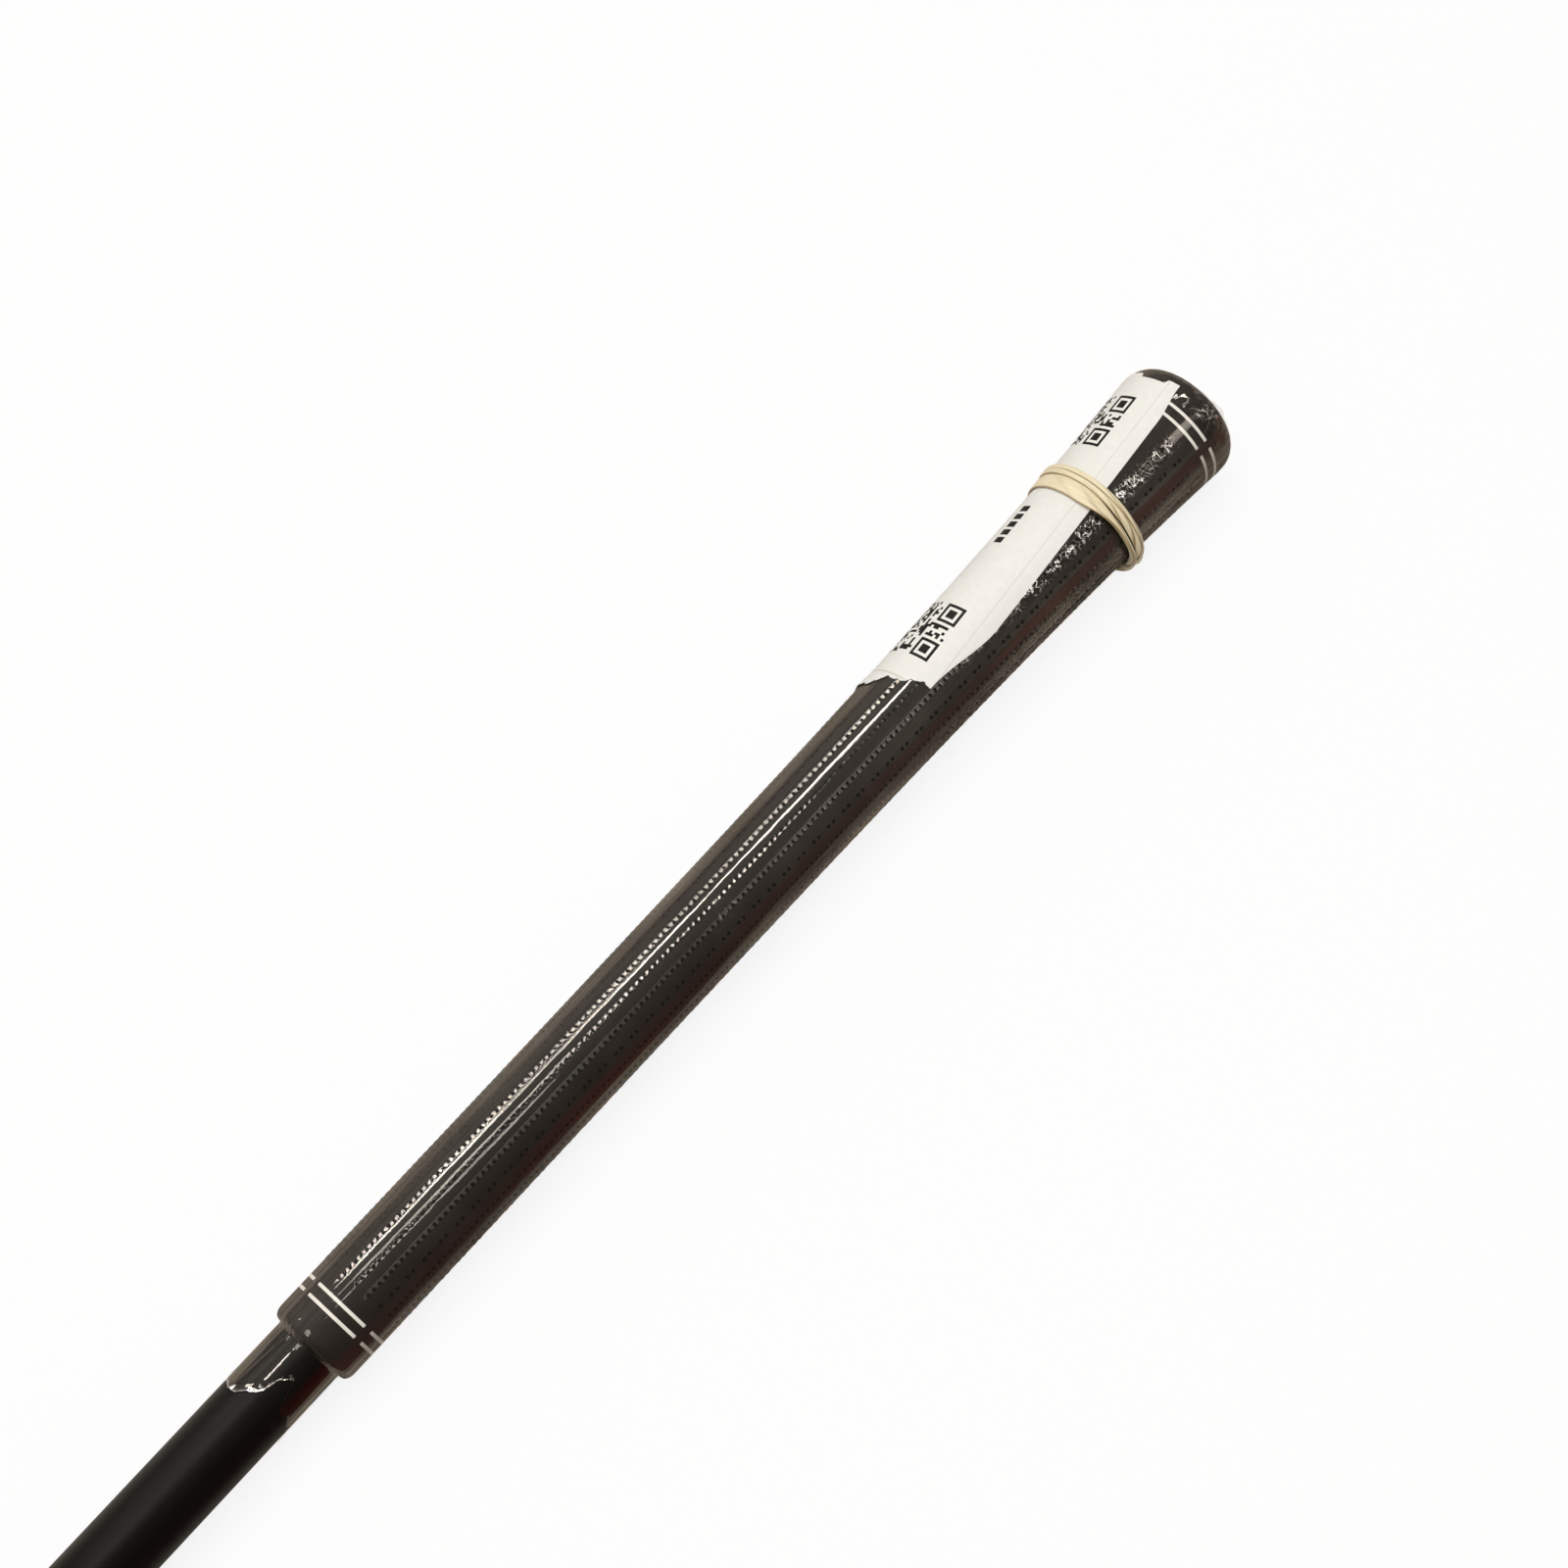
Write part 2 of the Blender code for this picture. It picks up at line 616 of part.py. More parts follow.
def make_rubber_band():
    """One closed loop that goes round the grip twice: its turns lie side by side and cross on the top."""
    curve = bpy.data.curves.new("rubber_band", "CURVE")
    curve.dimensions = "3D"
    curve.twist_mode = "Z_UP"
    curve.bevel_mode = "OBJECT"
    curve.bevel_object = make_band_section()
    loop_length = BAND_TURNS * 2 * math.pi * film_surface(BAND_FROM_BUTT)
    count = round(loop_length / BAND_POINT_SPACING)
    spline = curve.splines.new("POLY")
    spline.points.add(count - 1)
    on_label = LABEL_THICKNESS + 2 * LAYER_GAP + BAND_THICKNESS / 2
    lift = BAND_THICKNESS + SEAT_GAP
    lean = film_surface(BAND_FROM_BUTT) * math.tan(BAND_TILT)
    for i, point in enumerate(spline.points):
        phase = 2 * math.pi * i / count
        turn = BAND_TURNS * phase + BAND_CROSSING - math.pi
        distance = BAND_FROM_BUTT + BAND_SPREAD * math.cos(phase) + lean * math.cos(turn)
        radius = film_surface(distance - BAND_WIDTH / 2) + on_label + lift * max(math.sin(phase), 0.0)
        point.co = (*on_grip(radius, turn, distance), 1.0)
    spline.use_cyclic_u = True
    return add_object("rubber_band", curve, parts, grip_frame, cream_rubber)


# Laying the club on the floor


def world_points(objects):
    graph = bpy.context.evaluated_depsgraph_get()
    found = []
    for piece in objects:
        shown = piece.evaluated_get(graph)
        mesh = shown.to_mesh()
        found += [piece.matrix_world @ vert.co for vert in mesh.vertices]
        shown.to_mesh_clear()
    return found


def resting_plane(grip_points, head_points, face_way):
    """The way down when the club lies on its grip and two points of its head, with its face up."""
    shape = bmesh.new()
    for point in grip_points + head_points:
        shape.verts.new(point)
    hull = bmesh.ops.convex_hull(shape, input=shape.verts)["geom"]
    neck_top = -HOSEL_TOP
    best = None
    for face in (item for item in hull if isinstance(item, bmesh.types.BMFace)):
        on_head = sum(vert.co.z < neck_top for vert in face.verts)
        if on_head == 2 and (best is None or face.normal.dot(face_way) < best.dot(face_way)):
            best = face.normal.copy()
    shape.free()
    return best


def lay_on_floor():
    bpy.context.view_layer.update()
    head = bpy.data.objects["club_head"]
    grip = [bpy.data.objects[name] for name in ("protective_film", "rubber_band")]
    face_way = head.matrix_world.to_3x3() @ Vector((0.0, *FACE_OUT))
    down = resting_plane(world_points(grip), world_points([head]), face_way)
    up = -down
    butt_way = Vector((0, 0, 1))
    along = (butt_way - up * butt_way.dot(up)).normalized()
    across = up.cross(along)
    club.matrix_world = Matrix((along, across, up)).to_4x4()
    grip_frame.rotation_euler.z = -math.atan2(up.x, up.y)
    bpy.context.view_layer.update()
    points = np.array(world_points(piece for piece in parts.objects if piece.type != "EMPTY"))
    low = points.min(axis=0)
    high = points.max(axis=0)
    club.location = (-(low[0] + high[0]) / 2, -(low[1] + high[1]) / 2, -low[2])
    bpy.context.view_layer.update()


clear_scene()
parts = new_collection("golf_club")
cutters = new_collection("cutters")

black_rubber = material("black_rubber", (0.022, 0.021, 0.020), 0.62)
cap_rubber = material("cap_rubber", (0.028, 0.026, 0.025), 0.55)
white_inlay = material("white_inlay", (0.74, 0.71, 0.66), 0.5)
tape_paper = material("tape_paper", (0.62, 0.56, 0.44), 0.7)
black_steel = material("black_steel", (0.012, 0.011, 0.010), 0.38, metallic=0.4)
black_plastic = material("black_plastic", (0.010, 0.010, 0.010), 0.22)
satin_steel = material("satin_steel", (0.56, 0.55, 0.53), 0.32, metallic=1.0)
clear_film = material("clear_film", (0.80, 0.79, 0.77), 0.06, alpha=0.15)
white_paper = material("white_paper", (0.86, 0.85, 0.82), 0.6)
cream_rubber = material("cream_rubber", (0.78, 0.66, 0.44), 0.5)

club = add_empty("club", parts)
grip_frame = add_empty("grip_frame", parts, club)
head_frame = add_empty("head_frame", parts, club)
head_frame.rotation_euler.y = math.pi / 2 - LIE_ANGLE
head_frame.location = (0.0, HOSEL_BACK_OF_EDGE, -CLUB_LENGTH)

make_grip_sleeve()
make_grip_end_cap()
for ring_name, ring_place in ring_places().items():
    make_ring(ring_name, ring_place)
make_grip_tape()
make_shaft()
make_ferrule()
make_club_head()
make_protective_film()
make_stock_label()
make_rubber_band()
lay_on_floor()
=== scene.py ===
# %% [markdown]
# # A golf club with its grip still in transit film
# The photograph looks down on the grip end of a club. The rubber grip is sealed in clear shrink film,
# a paper stock label is stuck on the film, and a rubber band is wound round both.
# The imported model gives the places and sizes. This script makes the surfaces that the camera sees.

# %% Load the frame
import json
import math

import bmesh
import bpy
import numpy as np
from mathutils import Matrix, Vector, noise


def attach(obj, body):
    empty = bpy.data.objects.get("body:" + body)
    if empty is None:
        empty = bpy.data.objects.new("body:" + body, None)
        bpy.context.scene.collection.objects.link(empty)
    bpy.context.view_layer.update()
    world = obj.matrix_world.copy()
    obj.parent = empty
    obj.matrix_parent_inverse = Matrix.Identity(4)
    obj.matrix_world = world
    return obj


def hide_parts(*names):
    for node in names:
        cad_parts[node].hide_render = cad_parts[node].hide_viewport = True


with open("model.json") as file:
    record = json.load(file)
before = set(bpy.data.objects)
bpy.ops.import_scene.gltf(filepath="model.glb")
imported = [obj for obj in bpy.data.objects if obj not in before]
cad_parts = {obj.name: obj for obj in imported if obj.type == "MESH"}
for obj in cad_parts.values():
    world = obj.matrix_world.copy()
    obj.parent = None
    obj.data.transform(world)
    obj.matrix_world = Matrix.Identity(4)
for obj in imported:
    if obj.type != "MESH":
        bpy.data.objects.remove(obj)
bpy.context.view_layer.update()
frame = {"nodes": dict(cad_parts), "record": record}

MM = 0.001
cad_nodes = frame["nodes"]


def add_object(name, data):
    made = bpy.data.objects.new(name, data)
    bpy.context.scene.collection.objects.link(made)
    return made


def mesh_of(name, shape):
    mesh = bpy.data.meshes.new(name)
    shape.to_mesh(mesh)
    shape.free()
    return mesh


def mark_points(mesh, name, values):
    mesh.attributes.new(name, "FLOAT", "POINT").data.foreach_set("value", values)


print("pieces in the frame:", len(cad_nodes))

# %% [markdown]
# The club lies on the floor, so its shaft is not quite level. Everything on the grip is placed by three
# numbers: how far it is from the butt, how far round it is from the topmost line, and how far it is from
# the axis. The axis comes from the flat butt end in the record, and its centre from the tape's round tube.

# %% The club's own directions
mounts = {mount["name"]: mount for mount in frame["record"]["mounts"]}


def corner_points(node_name):
    mesh = cad_nodes[node_name].data
    flat = np.empty(len(mesh.vertices) * 3)
    mesh.vertices.foreach_get("co", flat)
    return np.unique(flat.reshape(-1, 3), axis=0)


AXIS = np.array(mounts["butt_end"]["axis"])
AXIS = AXIS / np.linalg.norm(AXIS)
UP = np.array([0.0, 0.0, 1.0]) - AXIS * AXIS[2]
UP = UP / np.linalg.norm(UP)
SIDE = np.cross(UP, AXIS)
on_axis = corner_points("grip_tape").mean(axis=0)
BUTT = on_axis + AXIS * np.dot(np.array(mounts["butt_end"]["pos_m"]) - on_axis, AXIS)


def way_out(turn):
    """The direction away from the axis at a turn from the top."""
    return SIDE * np.sin(turn)[..., None] + UP * np.cos(turn)[..., None]


def on_club(distance, turn, radius):
    """A point, or an array of points, by distance from the butt, turn from the top and radius."""
    distance, turn, radius = np.broadcast_arrays(distance, turn, radius)
    return BUTT - AXIS * distance[..., None] + way_out(turn) * radius[..., None]


def short_turn(turn):
    """The same turn, between minus and plus half a turn."""
    return np.angle(np.exp(1j * turn))


def degrees_round(turn):
    return np.degrees(short_turn(turn))


def club_outline(node_name, outer=True):
    """Distances from the butt and the largest, or smallest, radius there of a turned piece."""
    from_butt = corner_points(node_name) - BUTT
    distance = -(from_butt @ AXIS)
    radius = np.linalg.norm(from_butt + distance[:, None] * AXIS, axis=1)
    places = np.unique(distance.round(5))
    choose = np.max if outer else np.min
    return places, np.array([choose(radius[np.abs(distance - place) < 1.1e-5]) for place in places])


print("butt centre", BUTT.round(4), "axis", AXIS.round(4))

# %% [markdown]
# The camera stands above the mouth of the grip and looks towards the butt. Its place and lens were
# fitted to the outline of the grip and to the ends of the rings and the label.

# %% Camera
GRIP_LENGTH = club_outline("grip_sleeve")[0].max()
CAMERA_PAST_MOUTH = 12.54 * MM
CAMERA_TO_SIDE = -111.2 * MM
CAMERA_HEIGHT = 525.09 * MM
LOOK_ALONG = 0.2414
LOOK_SIDEWAYS = 0.2152
LOOK_UP = -0.9463
FOCAL_SHARE = 2742.9 / 1600
SENSOR_WIDTH = 36

mouth_centre = BUTT - AXIS * GRIP_LENGTH
camera_place = mouth_centre + AXIS * CAMERA_PAST_MOUTH + SIDE * CAMERA_TO_SIDE + UP * CAMERA_HEIGHT
look = Vector(AXIS * LOOK_ALONG + SIDE * LOOK_SIDEWAYS + UP * LOOK_UP).normalized()
look_right = look.cross(Vector(UP)).normalized()
look_over = look_right.cross(look)
camera_data = bpy.data.cameras.new("photo_camera")
camera_data.sensor_width = SENSOR_WIDTH
camera_data.lens = SENSOR_WIDTH * FOCAL_SHARE
camera_data.clip_start = 0.01
camera_data.clip_end = 50
camera = add_object("photo_camera", camera_data)
turned_axes = Matrix((look_right, look_over, -look)).transposed()
camera.matrix_world = Matrix.Translation(Vector(camera_place)) @ turned_axes.to_4x4()
bpy.context.scene.camera = camera
print("camera at", camera_place.round(3), "lens", round(camera_data.lens, 1))

# %% [markdown]
# Finishes and repeated shapes are built from nodes. Short helpers keep that readable: one adds any node and
# plugs in its inputs by name, others add a sum, a soft step, a blend of two colours, a bump or a finished
# coat. Numbers go straight on a socket, other nodes' outputs are linked.

# %% Node helpers


def plug(tree, socket, value):
    if isinstance(value, bpy.types.NodeSocket):
        tree.links.new(value, socket)
    else:
        socket.default_value = (*value, 1.0) if socket.type == "RGBA" else value


def add_node(tree, kind, settings=None, **inputs):
    made = tree.nodes.new(kind)
    for name, value in (settings or {}).items():
        setattr(made, name, value)
    for name, value in inputs.items():
        plug(tree, made.inputs[name.replace("_", " ")], value)
    return made


def sum_node(tree, operation, *values):
    made = tree.nodes.new("ShaderNodeMath")
    made.operation = operation
    for socket, value in zip(made.inputs, values):
        plug(tree, socket, value)
    return made.outputs[0]


def sum_maker(operation):
    return lambda tree, *values: sum_node(tree, operation, *values)


times, plus, minus = (sum_maker(operation) for operation in ("MULTIPLY", "ADD", "SUBTRACT"))
largest, absolute = (sum_maker(operation) for operation in ("MAXIMUM", "ABSOLUTE"))


def span_node(tree, value, low, high, to_low=0.0, to_high=1.0):
    """A soft step: to_low below low, to_high above high."""
    made = tree.nodes.new("ShaderNodeMapRange")
    made.interpolation_type = "SMOOTHSTEP"
    for name, number in (("From Min", low), ("From Max", high), ("To Min", to_low), ("To Max", to_high)):
        made.inputs[name].default_value = number
    plug(tree, made.inputs["Value"], value)
    return made.outputs["Result"]


def blend_node(tree, share, first, second):
    made = tree.nodes.new("ShaderNodeMix")
    made.data_type = "RGBA"
    plug(tree, made.inputs["Factor"], share)
    plug(tree, made.inputs[6], first)
    plug(tree, made.inputs[7], second)
    return made.outputs[2]


def new_material(name):
    material = bpy.data.materials.new(name)
    material.use_nodes = True
    material.node_tree.nodes.clear()
    output = material.node_tree.nodes.new("ShaderNodeOutputMaterial")
    return material, material.node_tree, output.inputs["Surface"]


def new_group(name, kind, inputs, output):
    """A group with named inputs and one output: its tree, the inputs inside it and its end socket."""
    tree = bpy.data.node_groups.new(name, kind)
    for label, socket in inputs:
        tree.interface.new_socket(label, in_out="INPUT", socket_type="NodeSocket" + socket)
    tree.interface.new_socket(output[0], in_out="OUTPUT", socket_type="NodeSocket" + output[1])
    return tree, tree.nodes.new("NodeGroupInput").outputs, tree.nodes.new("NodeGroupOutput").inputs[0]


def point_mark(tree, name):
    return add_node(tree, "ShaderNodeAttribute", {"attribute_name": name}).outputs["Fac"]


def parts_of(tree, place):
    return add_node(tree, "ShaderNodeSeparateXYZ", Vector=place).outputs


def object_place(tree):
    return add_node(tree, "ShaderNodeTexCoord").outputs["Object"]


def club_map(tree):
    """The turn and the distance from the butt, or for the label its own map."""
    return add_node(tree, "ShaderNodeUVMap", {"uv_map": "club_uv"}).outputs[0]


def add_bump(tree, height, distance, normal=None, strength=1.0):
    made = add_node(tree, "ShaderNodeBump", Height=height, Strength=strength, Distance=distance)
    if normal is not None:
        tree.links.new(normal, made.inputs["Normal"])
    return made.outputs[0]


def add_coat(tree, surface, shade, rough, bump=None, **constants):
    """A Principled shader on the surface. Its other sockets take plain numbers."""
    coat = add_node(tree, "ShaderNodeBsdfPrincipled", Base_Color=shade, Roughness=rough, **constants)
    if bump is not None:
        tree.links.new(bump, coat.inputs["Normal"])
    tree.links.new(coat.outputs[0], surface)


def mix_shaders(tree, share, first, second, surface):
    mixed = add_node(tree, "ShaderNodeMixShader", Fac=share)
    tree.links.new(first, mixed.inputs[1])
    tree.links.new(second, mixed.inputs[2])
    tree.links.new(mixed.outputs[0], surface)


def object_noise(tree, scale, detail=3.0, stretch=(1.0, 1.0, 1.0)):
    mapped = add_node(tree, "ShaderNodeMapping", Vector=object_place(tree), Scale=stretch).outputs[0]
    return add_node(tree, "ShaderNodeTexNoise", Vector=mapped, Scale=scale, Detail=detail).outputs["Fac"]


def grey(level):
    return (level, level, level)


# Nearly all of a noise lies in this range
NOISE_RANGE = (0.3, 0.7)


# %% [markdown]
# The floor is white to the camera, and it still takes a soft shadow. What the film mirrors of it is warmer,
# and darker on the right, where its colour is painted shade. The world is a dim room, brighter on the left
# and past the butt, so that the round grip has a light and a dark flank.

# %% Floor and world
FLOOR_SIZE = 8.0
FLOOR_GLOW = 0.86
MIRRORED_FLOOR_SHADE = (0.60, 0.535, 0.46)
WARM_LEFT = (0.90, 0.805, 0.70)
WARM_EDGE = 0.06

shape = bmesh.new()
bmesh.ops.create_grid(shape, x_segments=1, y_segments=1, size=FLOOR_SIZE / 2)
floor_mesh = mesh_of("floor", shape)
floor = add_object("floor", floor_mesh)
floor_material, tree, surface = new_material("white_floor")
rays = add_node(tree, "ShaderNodeLightPath").outputs
seen = largest(tree, rays["Is Camera Ray"], rays["Is Transmission Ray"])
bounced_tint = blend_node(tree, rays["Is Diffuse Ray"], grey(0.93), grey(0.7))
to_left = span_node(tree, parts_of(tree, object_place(tree))["Y"], -WARM_EDGE, 0.0)
# Painted shade: the floor, as the film mirrors it, is darker on the right
mirrored_floor_tint_and_shade = blend_node(tree, to_left, MIRRORED_FLOOR_SHADE, WARM_LEFT)
mirrored_tint = blend_node(tree, rays["Is Glossy Ray"], bounced_tint, mirrored_floor_tint_and_shade)
paint = add_node(tree, "ShaderNodeBsdfDiffuse", Color=mirrored_tint).outputs[0]
glow = add_node(tree, "ShaderNodeEmission", Color=grey(1.0), Strength=1.0).outputs[0]
mix_shaders(tree, times(tree, seen, FLOOR_GLOW), paint, glow, surface)
floor_mesh.materials.append(floor_material)

ROOM_LEVEL = 0.37
SHADED_LEVEL = 0.18
BRIGHT_SIDE = 0.42
DARK_SIDE = 0.03
BUTT_SIDE = 0.55
ROOM_TINT = (1.0, 0.93, 0.83)
# The share of a direction that points to the butt, or to the left, where each light starts and is full
BUTT_LIGHT_SPAN = (0.10, 0.42)
RIGHT_SPAN = (-0.35, 0.0)
LEFT_SPAN = (-0.35, 1.0)
PLAIN_SPAN = (-0.9, 0.1)
world = bpy.data.worlds.new("room")
bpy.context.scene.world = world
world.use_nodes = True
tree = world.node_tree
tree.nodes.clear()
rays = add_node(tree, "ShaderNodeLightPath").outputs
ways = parts_of(tree, add_node(tree, "ShaderNodeTexCoord").outputs["Generated"])
across = ways["Y"]
butt_light = span_node(tree, ways["X"], *BUTT_LIGHT_SPAN, 0.0, BUTT_SIDE)
butt_light = times(tree, butt_light, span_node(tree, across, *RIGHT_SPAN, 1.0, 0.0))
room_light = plus(tree, span_node(tree, across, *LEFT_SPAN, DARK_SIDE, BRIGHT_SIDE), butt_light)
plain_light = span_node(tree, across, *PLAIN_SPAN, SHADED_LEVEL, ROOM_LEVEL)
mirrored = times(tree, room_light, rays["Is Glossy Ray"])
plain = minus(tree, 1.0, rays["Is Glossy Ray"])
level = sum_node(tree, "MULTIPLY_ADD", plain, plain_light, mirrored)
level = largest(tree, level, rays["Is Camera Ray"])
warm = blend_node(tree, rays["Is Camera Ray"], ROOM_TINT, grey(1.0))
sky = add_node(tree, "ShaderNodeBackground", Color=warm, Strength=level).outputs[0]
tree.links.new(sky, add_node(tree, "ShaderNodeOutputWorld").inputs["Surface"])
bpy.context.scene.view_settings.view_transform = "Standard"
print("floor", FLOOR_SIZE, "m, room level", ROOM_LEVEL)

# %% [markdown]
# Long tubes of light run along the club. The shiny film mirrors them as the broken white lines that run
# down the grip. A light that should be mirrored at a given turn of the grip stands at twice that turn
# from the camera's own direction, so each tube is placed by the ends of its image. A soft panel lights
# what is matte. A dark red card on the floor beside the club, turned up at its far edge and cut back
# towards the butt, gives the film its dark red flank. The card glows and only the film's mirror sees it.
# Its flat part, which lies on the floor beside the club, is painted shade for that floor in the mirror.

# %% Light tubes and the red card
TUBE_DISTANCE = 1.25
WARM_WHITE = (1.0, 0.96, 0.91)
CAMERA_AWAY = math.hypot(CAMERA_TO_SIDE, CAMERA_HEIGHT)
CAMERA_TURN = math.atan2(CAMERA_TO_SIDE, CAMERA_HEIGHT)
grip_middle = BUTT - AXIS * GRIP_LENGTH / 2


def light_spot(from_mouth, mirrored_turn):
    """Where a light stands that the film mirrors at this place, in mm from the mouth and degrees."""
    stand = 2 * np.radians(mirrored_turn) - CAMERA_TURN
    reach = (from_mouth * MM - CAMERA_PAST_MOUTH) * (1 + TUBE_DISTANCE / CAMERA_AWAY)
    return mouth_centre + AXIS * (CAMERA_PAST_MOUTH + reach) + way_out(stand) * TUBE_DISTANCE


def add_tube(name, start, end, width, radiance):
    """A tube of light whose mirror image on the grip runs from start to end."""
    first, last = light_spot(*start), light_spot(*end)
    x_axis = Vector(last - first)
    length = x_axis.length
    x_axis.normalize()
    middle = Vector(first + last) / 2
    z_axis = middle - Vector(grip_middle)
    z_axis = (z_axis - x_axis * z_axis.dot(x_axis)).normalized()
    lamp = bpy.data.lights.new(name, "AREA")
    lamp.shape = "RECTANGLE"
    lamp.size = length
    lamp.size_y = width
    lamp.energy = radiance * math.pi * length * width
    lamp.color = WARM_WHITE
    holder = add_object(name, lamp)
    axes = Matrix((x_axis, z_axis.cross(x_axis), z_axis)).transposed().to_4x4()
    holder.matrix_world = Matrix.Translation(middle) @ axes
    holder.visible_diffuse = False


# Where the image starts and ends, as mm from the mouth and degrees of turn, then width and radiance
TUBES = [
    ("tube_left", (13, 18.3), (300, 19.3), 0.20, 11.0),
    ("tube_left_mouth", (40, 18.4), (88, 18.6), 0.20, 8.0),
    ("tube_middle", (13, 14.3), (300, 0.3), 0.07, 24.0),
    ("tube_middle_mouth", (44, 14.2), (88, 12.2), 0.12, 9.0),
    ("tube_middle_label", (138, 8.2), (168, 6.6), 0.13, 12.0),
    ("tube_top_mouth", (13, 5.6), (60, 2.2), 0.06, 8.0),
    ("tube_top", (60, 2.2), (135, -3.2), 0.08, 20.0),
    ("tube_low", (13, -1.7), (63, -7.2), 0.06, 7.0),
    ("tube_right", (13, -18.5), (300, -19.5), 0.26, 0.9),
    ("tube_far", (172, -20.5), (264, -20.5), 0.32, 3.0),
    ("tube_streak", (-11, 3.5), (-1, 3.5), 0.10, 16.0),
    ("tube_shaft", (-180, 1.5), (-12, 1.5), 0.30, 4.2),
]
for tube in TUBES:
    add_tube(*tube)

PANEL_SIZE = 1.2
PANEL_HEIGHT = 1.5
PANEL_POWER = 18.9
PANEL_ASIDE = 0.15
panel_light = bpy.data.lights.new("soft_panel", "AREA")
panel_light.size = PANEL_SIZE
panel_light.energy = PANEL_POWER
panel = add_object("soft_panel", panel_light)
panel.location = Vector(grip_middle + SIDE * PANEL_ASIDE + UP * PANEL_HEIGHT)
panel.rotation_euler = Vector(SIDE * PANEL_ASIDE + UP * PANEL_HEIGHT).to_track_quat("Z", "Y").to_euler()
panel.visible_glossy = False

CARD_AWAY = 0.12
CARD_LOW = 0.001
CARD_HIGH = 0.048
CARD_DARK = (0.15, 0.018, 0.012)
CARD_PALE = (0.40, 0.19, 0.15)
# Where along the grip, from its middle, the card turns from dark to pale
CARD_BLEND = (-0.03, 0.12)
# How far along from the middle of the grip, and how near to the club the card comes there, in metres
CARD_EDGE = [(-0.375, 0.032), (-0.03, 0.034), (0.09, 0.112), (0.375, 0.116)]
card_mesh = bpy.data.meshes.new("red_card")
card_corners = []
card_faces = []
# Each step of the card has a flat face, the painted shade, and an upright face, the red card's edge
for along, near in CARD_EDGE:
    for away, height in ((near, CARD_LOW), (CARD_AWAY, CARD_LOW), (CARD_AWAY, CARD_HIGH)):
        corner = grip_middle - SIDE * away + AXIS * along
        card_corners.append((corner[0], corner[1], height))
for i in range(0, len(card_corners) - 3, 3):
    card_faces += [(i, i + 1, i + 4, i + 3), (i + 1, i + 2, i + 5, i + 4)]
card_mesh.from_pydata(card_corners, [], card_faces)
card = add_object("red_card", card_mesh)
card.visible_camera = False
card.visible_diffuse = False
card.visible_shadow = False
card_red, tree, surface = new_material("card_red")
along = parts_of(tree, object_place(tree))["X"]
to_butt = span_node(tree, along, *(grip_middle[0] + end for end in CARD_BLEND))
shade = blend_node(tree, to_butt, CARD_DARK, CARD_PALE)
red = add_node(tree, "ShaderNodeEmission", Color=shade, Strength=1.0).outputs[0]
tree.links.new(red, surface)
card_mesh.materials.append(card_red)
print("tubes:", [lamp.name for lamp in bpy.data.lights], "and one card")

# %% [markdown]
# Most pieces are skins: a grid of points with rows along the club and columns round it. The helper turns
# such a grid into a mesh and gives it a UV map that holds the turn, as a share of a full turn, and the
# distance from the butt. Patterns that follow the surface read that map.

# %% Skins and turned pieces
SEGMENTS = 144


def new_object(name, mesh, material, smooth_angle=40):
    mesh.materials.append(material)
    mesh.shade_smooth()
    mesh.set_sharp_from_angle(angle=math.radians(smooth_angle))
    return add_object(name, mesh)


def skin(name, points, material, first, second, closed_round=True, closed_along=False, smooth_angle=40):
    """points, first and second are grids; first and second become the UV map."""
    rows, columns = points.shape[:2]
    row_places = np.arange(rows if closed_along else rows - 1)
    column_places = np.arange(columns if closed_round else columns - 1)
    i, j = [grid.ravel() for grid in np.meshgrid(row_places, column_places, indexing="ij")]
    corner_rows = np.stack([i, i, i + 1, i + 1], axis=1) % rows
    corner_columns = np.stack([j, j + 1, j + 1, j], axis=1)
    wrapped = corner_columns % columns
    mesh = bpy.data.meshes.new(name)
    mesh.from_pydata(points.reshape(-1, 3).tolist(), [], (corner_rows * columns + wrapped).tolist())
    past_seam = (corner_columns >= columns) * 1.0
    u = first[corner_rows, wrapped] + past_seam
    layer = mesh.uv_layers.new(name="club_uv")
    layer.data.foreach_set("uv", np.stack([u, second[corner_rows, wrapped]], axis=-1).ravel())
    return new_object(name, mesh, material, smooth_angle)


def turned(name, profile, material, smooth_angle=40):
    """A closed profile of (distance from the butt, radius), outer side first, turned round the axis."""
    distance, radius = np.array(profile).T
    share = np.arange(SEGMENTS) / SEGMENTS
    points = on_club(distance[:, None], 2 * math.pi * share[None, :], radius[:, None])
    first = np.broadcast_to(share, points.shape[:2])
    second = np.broadcast_to(distance[:, None], points.shape[:2])
    return skin(name, points, material, first, second, closed_along=True, smooth_angle=smooth_angle)


def settle(piece, slot, *node_names):
    """The piece rides on the club and stands for its CAD nodes, which it hides."""
    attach(piece, "root")
    if node_names:
        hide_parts(*node_names)
    piece.data.calc_loop_triangles()
    print(piece.name, "triangles:", len(piece.data.loop_triangles))
    return piece


def pairs(distance, radius):
    return [(float(d), float(r)) for d, r in zip(distance, radius)]


# %% [markdown]
# Black rubber is nearly matte. A fine grain breaks up its sheen, and the colour varies a little, as
# moulded rubber does. The same finish, a little lighter, serves for the end cap.

# %% Rubber


def make_rubber(name, colour, pale, gloss):
    material, tree, surface = new_material(name)
    cloud = object_noise(tree, 90.0, 4.0)
    grain = object_noise(tree, 2600.0, 2.0)
    shade = blend_node(tree, span_node(tree, cloud, 0.35, 0.7), colour, pale)
    rough = span_node(tree, grain, *NOISE_RANGE, gloss - 0.08, gloss + 0.1)
    bump = add_bump(tree, grain, 0.05 * MM, strength=0.25)
    add_coat(tree, surface, shade, rough, bump, Specular_IOR_Level=0.2)
    return material


